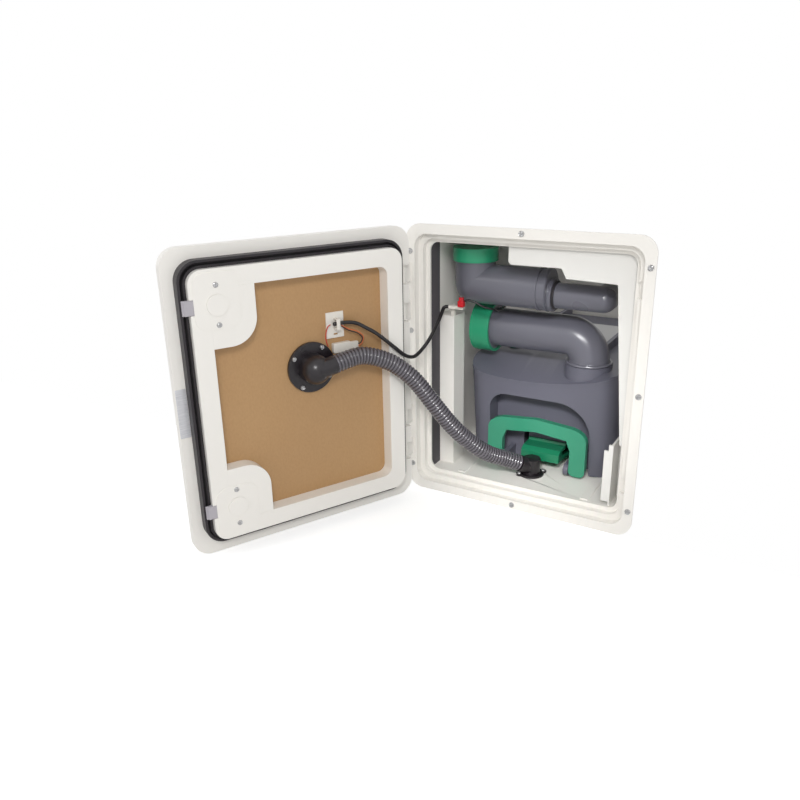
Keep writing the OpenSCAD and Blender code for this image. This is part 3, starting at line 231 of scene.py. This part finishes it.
# %% Fan cable and lead
def plain_tube(name, route, radius, sides=16, step=0.003):
    rounding, tip_radius = 0.0004, radius * 0.6
    total = route_lengths(route)[-1]
    count = max(int(total / step), 8)
    stations = [(0.0, tip_radius), (rounding, radius)]
    stations += [(total * i / count, radius) for i in range(1, count)]
    stations += [(total - rounding, radius), (total, tip_radius)]
    return tube(name, route, stations, sides)


cable_route = smooth_route([
    (-206, -135, 82), (-203, -129, 82), (-197, -118, 82), (-189, -106, 79), (-179, -98, 72),
    (-169, -90, 64), (-159, -80, 52), (-151, -68, 39), (-146, -56, 28), (-142, -45, 22),
    (-140, -34, 21), (-138, -20, 26), (-135, -5, 36), (-134, 11, 48), (-134, 27, 61),
    (-135, 38, 70), (-135, 44, 75), (-131, 46, 76), (-127.4, 46, 76)])
fan_cable = plain_tube("black_cable", cable_route, 0.0026)
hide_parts("fan_cable")
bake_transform(fan_cable)

lead_route = smooth_route([
    (-100.6, 41, 88), (-94, 43, 89.5), (-85, 46, 86.5), (-75, 50, 80.5), (-66, 57, 77),
    (-63.5, 64, 74.5), (-63, 74, 70.5), (-64, 90, 69), (-67, 112, 71), (-72, 132, 79),
    (-75, 142, 87.5), (-76, 149.6, 90)])
switch_lead = plain_tube("connector_lead", lead_route, 0.0015, 12)
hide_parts("switch_lead")
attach(switch_lead, "hatch")

# %% [markdown]
# ## Finishes
# Each plastic gets a base colour that drifts a little over the surface, a fine grain in its
# bump, and a roughness that varies, because moulded parts are never evenly shiny. One builder
# makes the nodes for all of them, and each finish gives its own numbers.

# %% Finish builder
def linear(r, g, b):
    return tuple(((c / 255 + 0.055) / 1.055) ** 2.4 if c > 10 else c / 255 / 12.92
                 for c in (r, g, b)) + (1.0,)


class Finish:
    """A material with a few short ways to add nodes."""

    def __init__(self, name, metallic=0.0, coat=0.0, specular=0.5):
        self.slot = name
        self.material = bpy.data.materials.new(name + "_finish")
        self.material.use_nodes = True
        self.tree = self.material.node_tree
        self.shader = self.tree.nodes["Principled BSDF"]
        self.shader.inputs["Metallic"].default_value = metallic
        self.shader.inputs["Coat Weight"].default_value = coat
        self.shader.inputs["Coat Roughness"].default_value = 0.22
        self.shader.inputs["Specular IOR Level"].default_value = specular
        self.place = self.tree.nodes.new("ShaderNodeTexCoord").outputs["Object"]

    def link(self, a, b):
        self.tree.links.new(a, b)

    def noise(self, scale, detail=3.0, stretch=(1, 1, 1)):
        mapping = self.tree.nodes.new("ShaderNodeMapping")
        mapping.inputs["Scale"].default_value = stretch
        self.link(self.place, mapping.inputs["Vector"])
        texture = self.tree.nodes.new("ShaderNodeTexNoise")
        texture.inputs["Scale"].default_value = scale
        texture.inputs["Detail"].default_value = detail
        self.link(mapping.outputs[0], texture.inputs["Vector"])
        return texture.outputs["Fac"]

    def spread(self, value, low, high, start=0.3, end=0.7):
        node = self.tree.nodes.new("ShaderNodeMapRange")
        for name, number in (("From Min", start), ("From Max", end), ("To Min", low),
                             ("To Max", high)):
            node.inputs[name].default_value = number
        self.link(value, node.inputs["Value"])
        return node.outputs[0]

    def mix(self, factor, a, b):
        node = self.tree.nodes.new("ShaderNodeMix")
        node.data_type = "RGBA"
        for socket, value in ((node.inputs[0], factor), (node.inputs[6], a), (node.inputs[7], b)):
            if hasattr(value, "is_linked"):
                self.link(value, socket)
            else:
                socket.default_value = value
        return node.outputs[2]

    def bump(self, height, strength, distance):
        node = self.tree.nodes.new("ShaderNodeBump")
        node.inputs["Strength"].default_value = strength
        node.inputs["Distance"].default_value = distance
        self.link(height, node.inputs["Height"])
        self.link(node.outputs[0], self.shader.inputs["Normal"])


# %% Moulded plastics
def moulded(name, colour, shade=0.93, rough=(0.32, 0.42), grain=0.06, coat=0.0, specular=0.5):
    """shade is how dark the darker patches are against the lighter ones."""
    patch_scale, gloss_scale, grain_scale, grain_depth = 6.0, 25.0, 1400.0, 0.0004
    finish = Finish(name, coat=coat, specular=specular)
    base = linear(*colour)
    dark = tuple(c * shade for c in base[:3]) + (1.0,)
    patches = finish.spread(finish.noise(patch_scale, 2.0), 0.0, 1.0)
    finish.link(finish.mix(patches, base, dark), finish.shader.inputs["Base Color"])
    finish.link(finish.spread(finish.noise(gloss_scale, 0.0), *rough, 0.1, 0.9),
                finish.shader.inputs["Roughness"])
    finish.bump(finish.noise(grain_scale, 2.0), grain, grain_depth)
    return finish


cream = moulded("cream_plastic", (243, 240, 234), 0.985, (0.31, 0.37), 0.03, coat=0.15)
white = moulded("white_plastic", (230, 229, 225), 0.975, (0.37, 0.43), 0.05)
# A lighter copy of the white plastic for the tray and the post, deep in the compartment: painted
# light.
tray_white_painted_lighter = moulded("white_plastic", (246, 243, 237), 0.985, (0.37, 0.43), 0.04)
tank_grey = moulded("tank_grey", (98, 98, 110), 0.95, (0.40, 0.46), 0.12)
pipe_grey = moulded("pipe_grey", (103, 103, 113), 0.99, (0.27, 0.29), 0.02, coat=0.2)
cap_green = moulded("green_plastic", (38, 152, 110), 0.95, (0.28, 0.34), 0.03, coat=0.15)
# A darker copy of the green plastic for the retention catch: painted shade.
catch_green_painted_darker = moulded("green_plastic", (26, 122, 86), 0.95, (0.30, 0.38), 0.03, coat=0.1)
handle_green = moulded("handle_green", (54, 143, 112), 0.94, (0.30, 0.40), 0.06, coat=0.1)
black_plastic = moulded("black_plastic", (34, 29, 33), 0.85, (0.26, 0.36), 0.05, coat=0.1)
light_grey = moulded("light_grey", (196, 196, 196), 0.95, (0.38, 0.48), 0.06)
tongue_grey = moulded("tongue_grey", (180, 176, 182), 0.95, (0.35, 0.45), 0.06)
nylon = moulded("nylon", (233, 228, 219), 0.95, (0.30, 0.42), 0.05)
red_plastic = moulded("red_plastic", (205, 26, 38), 0.9, (0.25, 0.35), 0.04)
motor_grey = moulded("motor_grey", (96, 96, 100), 0.9, (0.35, 0.45), 0.05)
print("plastics:", len(bpy.data.materials))


# %% [markdown]
# ### Rubber, hose and cable
# Rubber is dull, with a faint sheen at grazing angles. The hose's valleys are darkened through
# the attribute that its mesh carries: painted shade, for the shadow that sits between the ribs.

# %% Rubber, hose and cable finishes
rubber = moulded("black_rubber", (36, 31, 36), 0.85, (0.45, 0.60), 0.06)
rubber.shader.inputs["Sheen Weight"].default_value = 0.06
# The dark grey of the foam lining is partly the lining's own colour and partly painted shade of
# the gap behind the lip.
foam_and_gap_shade = moulded("grey_foam", (92, 89, 93), 0.8, (0.8, 0.9), 0.35, specular=0.2)
filter_foam = moulded("filter_black", (40, 40, 44), 0.7, (0.9, 0.95), 0.6, specular=0.1)
cable_black = moulded("cable_black", (30, 27, 29), 0.85, (0.30, 0.42), 0.04)

hose_finish = Finish("hose_grey", coat=0.3)
rib_value = hose_finish.tree.nodes.new("ShaderNodeAttribute")
rib_value.attribute_name = "rib"
# Valleys get the dark colour and crests the light one: painted shade between the ribs.
hose_colour = hose_finish.mix(hose_finish.spread(rib_value.outputs["Fac"], 0, 1, 0.0, 0.8),
                              linear(40, 37, 42), linear(98, 94, 101))
hose_finish.link(hose_colour, hose_finish.shader.inputs["Base Color"])
hose_finish.link(hose_finish.spread(hose_finish.noise(300.0), 0.16, 0.26),
                 hose_finish.shader.inputs["Roughness"])
hose_finish.bump(hose_finish.noise(900.0, 2.0), 0.05, 0.0003)

# %% [markdown]
# ### Hardboard, foil and metal
# Hardboard is pressed wood fibre: a warm brown with fine darker flecks, under large clouds of a
# lighter brown that are painted glare. The foil strip is bare brushed metal. Screws are zinc
# plated and slightly cloudy.

# %% Hardboard, foil and metal finishes
board = Finish("board", specular=0.5)
flecks = board.spread(board.noise(420.0, 6.0, (1, 1, 0.6)), 0, 1, 0.35, 0.75)
# Large noise clouds where the board turns a lighter brown: painted glare.
painted_glare = board.spread(board.noise(3.5, 1.0), 0, 1)
board_colour = board.mix(flecks, linear(178, 140, 97), linear(172, 134, 91))
board.link(board.mix(painted_glare, board_colour, board.mix(flecks, linear(190, 152, 106),
                                                     linear(184, 146, 100))),
           board.shader.inputs["Base Color"])
board.link(board.spread(board.noise(30.0), 0.42, 0.55), board.shader.inputs["Roughness"])
board.bump(board.noise(700.0, 4.0), 0.06, 0.0004)

foil = Finish("foil", metallic=0.55)
streaks = foil.spread(foil.noise(60.0, 4.0, (1, 1, 14)), 0, 1)
foil.link(foil.mix(streaks, linear(228, 228, 231), linear(206, 207, 211)),
          foil.shader.inputs["Base Color"])
foil.link(foil.spread(foil.noise(200.0, 3.0, (1, 1, 10)), 0.32, 0.48),
          foil.shader.inputs["Roughness"])

steel = Finish("screw_steel", metallic=1.0)
steel.link(steel.mix(steel.spread(steel.noise(500.0), 0, 1), linear(205, 205, 205),
                     linear(176, 176, 178)), steel.shader.inputs["Base Color"])
steel.link(steel.spread(steel.noise(800.0), 0.25, 0.4), steel.shader.inputs["Roughness"])
skin_white = moulded("skin", (234, 231, 225), 0.98, (0.30, 0.38), 0.04, coat=0.2)
wire_colours = [moulded("wire_red", (196, 62, 48), 0.9),
                moulded("wire_orange", (214, 112, 70), 0.9),
                moulded("wire_black", (44, 34, 36), 0.9)]
print("finishes:", len(bpy.data.materials))

# %% [markdown]
# ## Soft edges on the moulded pieces
# A CAD solid has knife edges, and real mouldings never do. A copy of each solid has its loose
# triangles joined and a narrow bevel put on its sharp edges. Edges inside a flat or a gently
# curved area are left alone by the bevel's angle limit. Normals weighted by face area keep
# the big flats flat, so no light runs over from the bevels. The copy stands for the solid.

# %% Soften the solids
weld_distance, edge_segments, flat_weight = 2e-6, 2, 100
edge_angle, sharp_angle = math.radians(32.0), math.radians(46)


def rides_on(node):
    return nodes[node]["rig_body"]


def bake_modifiers(made):
    """Turns what the modifiers show into the piece's own mesh."""
    bpy.context.view_layer.update()
    plain = bpy.data.meshes.new_from_object(made.evaluated_get(
        bpy.context.evaluated_depsgraph_get()))
    made.modifiers.clear()
    made.data = plain


def soften(node, finish, width):
    made = bpy.data.objects.new("soft_" + node, nodes[node].data.copy())
    made.data.materials.clear()
    scene.collection.objects.link(made)
    work = bmesh.new()
    work.from_mesh(made.data)
    bmesh.ops.remove_doubles(work, verts=work.verts, dist=weld_distance)
    work.to_mesh(made.data)
    work.free()
    bevel = made.modifiers.new("edge", "BEVEL")
    bevel.width = width
    bevel.segments = edge_segments
    bevel.limit_method = "ANGLE"
    bevel.angle_limit = edge_angle
    bevel.miter_outer = "MITER_ARC"
    bevel.use_clamp_overlap = True
    bake_modifiers(made)
    made.data.materials.append(finish.material)
    made.data.polygons.foreach_set("use_smooth", [True] * len(made.data.polygons))
    made.data.set_sharp_from_angle(angle=sharp_angle)
    even = made.modifiers.new("even", "WEIGHTED_NORMAL")
    even.mode = "FACE_AREA"
    even.weight = flat_weight
    even.keep_sharp = True
    bake_modifiers(made)
    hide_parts(node)
    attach(made, rides_on(node))


def soften_all(group, pieces):
    """pieces: the finish of each node and the width of its soft edges in metres."""
    for node, (finish, width) in pieces.items():
        soften(node, finish, width)
    print(group, "pieces softened:", len(pieces))


# %% Frame and compartment
soften_all("frame", {
    "wall_frame": (cream, 0.0012), "compartment_tray": (tray_white_painted_lighter, 0.001),
    "corner_post": (tray_white_painted_lighter, 0.0015), "blanking_panel": (white, 0.0008),
    "guide_bracket": (white, 0.0008), "flush_water_tank": (white, 0.003),
    "side_baffle": (tank_grey, 0.0008), "baffle_trim": (cap_green, 0.0004),
    "catch_bracket": (light_grey, 0.0006), "connector_bracket": (nylon, 0.0006),
    "red_connector": (red_plastic, 0.0008), "floor_elbow": (black_plastic, 0.0008),
})

# %% Door
soften_all("door", {
    "door_rim": (cream, 0.0015), "door_ring": (cream, 0.0012), "lock_housings": (cream, 0.0012),
    "lock_covers": (cream, 0.0006), "upper_knob": (cream, 0.001), "lower_knob": (cream, 0.001),
    "upper_tongue": (tongue_grey, 0.0008), "lower_tongue": (tongue_grey, 0.0008),
    "vent_cover": (cream, 0.001), "tie_mount": (nylon, 0.0004), "cable_tie": (nylon, 0.0004),
    "wire_connectors": (nylon, 0.001), "fan_housing": (black_plastic, 0.0012),
    "door_seal": (rubber, 0.0009),
})

# %% Tank, spout and filler
soften_all("tank", {
    "waste_tank": (tank_grey, 0.004), "spout_collar": (pipe_grey, 0.002),
    "sliding_cover": (light_grey, 0.001), "vent_button": (cap_green, 0.001),
    "swivel_spout": (pipe_grey, 0.0012), "spout_cap": (cap_green, 0.002),
    "tank_handle": (handle_green, 0.003), "retention_catch": (catch_green_painted_darker, 0.0015),
    "filler_arm": (pipe_grey, 0.0012), "filler_cap": (cap_green, 0.002),
    "inlet_pipe": (pipe_grey, 0.001),
})

# %% [markdown]
# ## Solids that stay as they are
# Flat sheets, pins and seals need no soft edge. They only get their finish.

# %% Finish the other solids
plain_solids = {
    "door_board": board, "outer_skin": skin_white, "foil_label": foil, "foam_lining": foam_and_gap_shade,
    "filter_pad": filter_foam, "fan_motor": motor_grey, "fan_impeller": black_plastic,
    "hinge_pins": steel, "catch_pin": steel, "handle_pins": steel, "mouth_seal": rubber,
    "filler_seal": rubber,
}
for node, finish in plain_solids.items():
    nodes[node].data.materials.clear()
    nodes[node].data.materials.append(finish.material)
vent_hose.data.materials.append(hose_finish.material)
fan_cable.data.materials.append(cable_black.material)
switch_lead.data.materials.append(cable_black.material)

# %% [markdown]
# ## The fan's wires
# Three thin wires come out of the sheath. The red one goes down to the fan on one side. The
# orange and the black one bulge out on the other side and end in the white connector.

# %% Fan wires
wire_radius, wire_sides, wire_step = 0.00075, 10, 0.002
wire_routes = [
    [(-42, 0.4, 82), (-38, 0.6, 80), (-35, 1, 74), (-33.5, 1.5, 66), (-34.5, 1.5, 59),
     (-37, 0.8, 53)],
    [(-58, 0.2, 79), (-69, 0.8, 72.1), (-81.1, 1.2, 67.4), (-90.1, 1.4, 59), (-88.1, 1.0, 49.5),
     (-83.4, -1.6, 46)],
    [(-58, 0.6, 77.6), (-68.6, 1.2, 70.4), (-80, 1.6, 65.6), (-88.2, 1.8, 58.4),
     (-86.6, 1.2, 51.6), (-83.4, -1.4, 49)],
]
for points, finish in zip(wire_routes, wire_colours):
    route = smooth_route(on_door(points))
    wire = plain_tube(finish.slot, route, wire_radius, wire_sides, wire_step)
    wire.data.materials.append(finish.material)
    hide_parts("fan_wires")
    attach(wire, "door")
    print(wire.name, round(route_lengths(route)[-1] * 1000), "mm")

# %% [markdown]
# ## Screw heads
# All the screws have the same pan head with a cross slot. The head is modelled once, and a
# Geometry Nodes tree puts it on every screw's place and turns it, so that no two slots line up.

# %% One screw head
def screw_head_mesh(radius, height):
    """A pan head that stands on Z = 0 with its cross slot on top."""
    work = bmesh.new()
    profile = [(0.30, 0.55), (0.32, 1.0), (0.62, 0.97), (0.86, 0.78), (0.97, 0.45), (1.0, 0.0)]
    slot_width, slot_reach, slot_lift = 0.30, 0.62, 0.5
    rings, count = [], 24
    for distance, lift in profile:
        ring = []
        for k in range(count):
            a = 2 * math.pi * k / count
            slot_side = min(abs(math.sin(a)), abs(math.cos(a))) < slot_width
            cross = slot_side and distance <= slot_reach
            ring.append(work.verts.new((distance * radius * math.cos(a),
                                        distance * radius * math.sin(a),
                                        height * (slot_lift if cross else lift))))
        rings.append(ring)
    for a, b in zip(rings, rings[1:]):
        for k in range(count):
            work.faces.new((a[k], b[k], b[(k + 1) % count], a[(k + 1) % count]))
    work.faces.new(rings[0])
    work.faces.new(reversed(rings[-1]))
    bmesh.ops.recalc_face_normals(work, faces=work.faces)
    mesh = bpy.data.meshes.new("screw_head")
    work.to_mesh(mesh)
    work.free()
    return mesh


# %% [markdown]
# The tree reads the turn of each head from an attribute of its point. It ends in Realize
# Instances and Set Material, so the result is a plain mesh.

# %% Screw tree
screw_tree = bpy.data.node_groups.new("place_screws", "GeometryNodeTree")
screw_tree.interface.new_socket("Geometry", in_out="INPUT", socket_type="NodeSocketGeometry")
head_socket = screw_tree.interface.new_socket("Head", in_out="INPUT",
                                              socket_type="NodeSocketObject")
size_socket = screw_tree.interface.new_socket("Size", in_out="INPUT",
                                              socket_type="NodeSocketFloat")
screw_tree.interface.new_socket("Geometry", in_out="OUTPUT", socket_type="NodeSocketGeometry")
add_node = screw_tree.nodes.new
group_in, group_out = add_node("NodeGroupInput"), add_node("NodeGroupOutput")
head_info = add_node("GeometryNodeObjectInfo")
turn_value = add_node("GeometryNodeInputNamedAttribute")
turn_value.data_type = "FLOAT_VECTOR"
turn_value.inputs["Name"].default_value = "turn"
place_heads = add_node("GeometryNodeInstanceOnPoints")
realize = add_node("GeometryNodeRealizeInstances")
paint = add_node("GeometryNodeSetMaterial")
paint.inputs["Material"].default_value = steel.material
join = screw_tree.links.new
join(group_in.outputs["Geometry"], place_heads.inputs["Points"])
join(group_in.outputs["Head"], head_info.inputs["Object"])
join(head_info.outputs["Geometry"], place_heads.inputs["Instance"])
join(turn_value.outputs["Attribute"], place_heads.inputs["Rotation"])
join(group_in.outputs["Size"], place_heads.inputs["Scale"])
join(place_heads.outputs["Instances"], realize.inputs["Geometry"])
join(realize.outputs["Geometry"], paint.inputs["Geometry"])
join(paint.outputs["Geometry"], group_out.inputs["Geometry"])
print("screw tree nodes:", len(screw_tree.nodes))


# %% Put the screws in place
def place_screws(name, body, points, outward, head, replaced):
    """points in millimetres; outward is the direction that the heads face."""
    first_turn, next_turn, head_sharp_angle = 0.7, 1.9, math.radians(40)
    base = Vector(outward).to_track_quat("Z", "Y")
    turns = []
    for i in range(len(points)):
        spin = Matrix.Rotation(first_turn + next_turn * i, 4, "Z").to_quaternion()
        turns.append((base @ spin).to_euler("XYZ"))
    holder = new_mesh_object(name, np.array(points) / 1000, [])
    turn_attribute = holder.data.attributes.new("turn", "FLOAT_VECTOR", "POINT")
    turn_attribute.data.foreach_set("vector", [c for t in turns for c in t])
    modifier = holder.modifiers.new("screws", "NODES")
    modifier.node_group = screw_tree
    modifier[head_socket.identifier] = head
    modifier[size_socket.identifier] = 1.0
    bpy.context.view_layer.update()
    made = bpy.data.meshes.new_from_object(
        holder.evaluated_get(bpy.context.evaluated_depsgraph_get()))
    holder.modifiers.clear()
    holder.data = made
    made.polygons.foreach_set("use_smooth", [True] * len(made.polygons))
    made.set_sharp_from_angle(angle=head_sharp_angle)
    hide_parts(replaced)
    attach(holder, body)
    print(name, len(points), "heads,", len(made.polygons), "faces")


def head_object(radius, height):
    return bpy.data.objects.new("head", screw_head_mesh(radius, height))


big_head, small_head = head_object(0.004, 0.0023), head_object(0.0034, 0.0016)
fan_head = head_object(0.0032, 0.002)

# %% [markdown]
# The places are in millimetres. Each depth is the face that the heads stand on.

# %% Flange screws
flange_x, flange_z, flange_end_z, flange_face = 164, 162, 193.5, -3
left_z, right_z = 48, 0
flange_places = [(sx * flange_x, flange_face, sz * flange_z) for sx in (-1, 1) for sz in (-1, 1)]
flange_places += [(0, flange_face, flange_end_z), (0, flange_face, -flange_end_z),
                  (-flange_x, flange_face, left_z), (flange_x, flange_face, right_z)]
place_screws("flange_screw_heads", "hatch", flange_places, (0, -1, 0), big_head, "flange_screws")

# %% Door screws
cover_x, cover_face, cover_z, cover_half_gap = 112, 14.8, 132, 24
fan_x, fan_face, fan_z, fan_screw_ring, fan_screw_turn = -13, -2, 28, 29.5, 58
door_inward = Vector(on_door([(0, 1, 0)])[0] - on_door([(0, 0, 0)])[0])
cover_places = on_door([(cover_x, cover_face, s * cover_z + k * cover_half_gap)
                        for s in (-1, 1) for k in (-1, 1)])
place_screws("cover_screw_heads", "door", cover_places, door_inward, small_head, "lock_screws")
fan_places = []
for k in range(4):
    a = math.radians(90 * k + fan_screw_turn)
    fan_places.append((fan_x + fan_screw_ring * math.cos(a), fan_face,
                       fan_z - fan_screw_ring * math.sin(a)))
place_screws("fan_screw_heads", "door", on_door(fan_places), door_inward, fan_head, "fan_screws")

# %% Floor elbow's screws
elbow_y, elbow_face, elbow_screw_x, elbow_screw_y = 72, -172, 14, 13.2
elbow_places = [(s * elbow_screw_x, elbow_y + s * elbow_screw_y, elbow_face) for s in (-1, 1)]
place_screws("elbow_screw_heads", "hatch", elbow_places, (0, 0, 1), fan_head,
             "floor_elbow_screws")

# %% [markdown]
# ## Floor, light and sky
# The hatch stands on a white floor under soft studio light. The floor glows a little for the
# camera only, so that it stays white and still shows the shadow.

# %% Floor
floor_z = cad_box[0][2] - 0.0005
floor_reach, floor_back, floor_glow = 6, 9, 0.42
floor_corners = [(-floor_reach, -floor_reach), (floor_reach, -floor_reach),
                 (floor_reach, floor_back), (-floor_reach, floor_back)]
floor = new_mesh_object("floor", [(x, y, floor_z) for x, y in floor_corners],
                        [(0, 1, 2, 3)], False)
floor_finish = bpy.data.materials.new("floor_white")
floor_finish.use_nodes = True
floor_shader = floor_finish.node_tree.nodes["Principled BSDF"]
floor_shader.inputs["Base Color"].default_value = (0.9, 0.9, 0.9, 1)
floor_shader.inputs["Roughness"].default_value = 0.9
floor_shader.inputs["Specular IOR Level"].default_value = 0.1
floor_shader.inputs["Emission Color"].default_value = (1, 1, 1, 1)
ray = floor_finish.node_tree.nodes.new("ShaderNodeLightPath")
glow = floor_finish.node_tree.nodes.new("ShaderNodeMath")
glow.operation = "MULTIPLY"
glow.inputs[1].default_value = floor_glow
floor_finish.node_tree.links.new(ray.outputs["Is Camera Ray"], glow.inputs[0])
floor_finish.node_tree.links.new(glow.outputs[0], floor_shader.inputs["Emission Strength"])
floor.data.materials.append(floor_finish)

# %% [markdown]
# The caravan's wall is a plain white backdrop with a hole for the recess, just behind the
# flange. Only the camera sees it, and only from outside, so it throws no shadow and the
# compartment can still be looked at from behind.

# %% Wall backdrop
wall_y, hole_x, hole_z, wall_reach = 0.0005, 0.1595, 0.1890, 4.0
wall_corners = [(-wall_reach, floor_z), (wall_reach, floor_z), (wall_reach, wall_reach),
                (-wall_reach, wall_reach), (-hole_x, -hole_z), (hole_x, -hole_z),
                (hole_x, hole_z), (-hole_x, hole_z)]
wall = new_mesh_object("caravan_wall", [(x, wall_y, z) for x, z in wall_corners],
                       [(0, 1, 5, 4), (1, 2, 6, 5), (2, 3, 7, 6), (3, 0, 4, 7)], False)
wall_finish = bpy.data.materials.new("wall_white")
wall_finish.use_nodes = True
wall_nodes, wall_links = wall_finish.node_tree.nodes, wall_finish.node_tree.links
wall_nodes.remove(wall_nodes["Principled BSDF"])
wall_white, wall_clear = wall_nodes.new("ShaderNodeEmission"), wall_nodes.new(
    "ShaderNodeBsdfTransparent")
wall_ray, wall_side = wall_nodes.new("ShaderNodeLightPath"), wall_nodes.new(
    "ShaderNodeNewGeometry")
wall_seen, wall_mix = wall_nodes.new("ShaderNodeMath"), wall_nodes.new("ShaderNodeMixShader")
wall_seen.operation = "SUBTRACT"
wall_seen.use_clamp = True
wall_links.new(wall_ray.outputs["Is Camera Ray"], wall_seen.inputs[0])
wall_links.new(wall_side.outputs["Backfacing"], wall_seen.inputs[1])
wall_links.new(wall_seen.outputs[0], wall_mix.inputs[0])
wall_links.new(wall_clear.outputs[0], wall_mix.inputs[1])
wall_links.new(wall_white.outputs[0], wall_mix.inputs[2])
wall_links.new(wall_mix.outputs[0], wall_nodes["Material Output"].inputs["Surface"])
wall.data.materials.append(wall_finish)
print("wall backdrop:", len(wall.data.polygons), "faces")

# %% [markdown]
# The sky is white to the camera and in reflections, and lights the hatch with a little over
# half of that. Two soft lamps give the shadows a direction, and a spot lamp reaches into the
# compartment.

# %% Sky and lamps
sky_light = 0.58
sky = bpy.data.worlds.new("sky")
scene.world = sky
sky.use_nodes = True
sky_nodes, sky_links = sky.node_tree.nodes, sky.node_tree.links
backdrop = sky_nodes["Background"]
backdrop.inputs["Color"].default_value = (1, 1, 1, 1)
sky_ray = sky_nodes.new("ShaderNodeLightPath")
seen, seen_glossy = sky_nodes.new("ShaderNodeMath"), sky_nodes.new("ShaderNodeMath")
seen.operation = seen_glossy.operation = "MAXIMUM"
level = sky_nodes.new("ShaderNodeMapRange")
level.inputs["To Min"].default_value = sky_light
level.inputs["To Max"].default_value = 1.0
sky_links.new(sky_ray.outputs["Is Camera Ray"], seen.inputs[0])
sky_links.new(sky_ray.outputs["Is Glossy Ray"], seen.inputs[1])
sky_links.new(seen.outputs[0], seen_glossy.inputs[0])
sky_links.new(sky_ray.outputs["Is Transmission Ray"], seen_glossy.inputs[1])
sky_links.new(seen_glossy.outputs[0], level.inputs["Value"])
sky_links.new(level.outputs[0], backdrop.inputs["Strength"])


def soft_lamp(name, place, target, size, power):
    lamp = bpy.data.lights.new(name, "AREA")
    lamp.shape = "DISK"
    lamp.size = size
    lamp.energy = power
    made = bpy.data.objects.new(name, lamp)
    scene.collection.objects.link(made)
    made.location = place
    made.rotation_euler = (Vector(target) - Vector(place)).to_track_quat("-Z", "Y").to_euler()
    return made


soft_lamp("front_lamp", (0.75, -1.5, 1.05), (-0.05, 0, 0), 0.45, 12.5)
soft_lamp("side_lamp", (-1.2, -1.4, 0.9), (-0.1, 0, 0), 0.9, 4.5)
inside = soft_lamp("inside_lamp", (0.26, -0.95, 0.62), (-0.01, 0.09, -0.10), 0.1, 50)
inside.data.type = "SPOT"
inside.data.spot_size = math.radians(14)
inside.data.spot_blend = 0.6
inside.data.shadow_soft_size = 0.10
scene.view_settings.view_transform = "Standard"
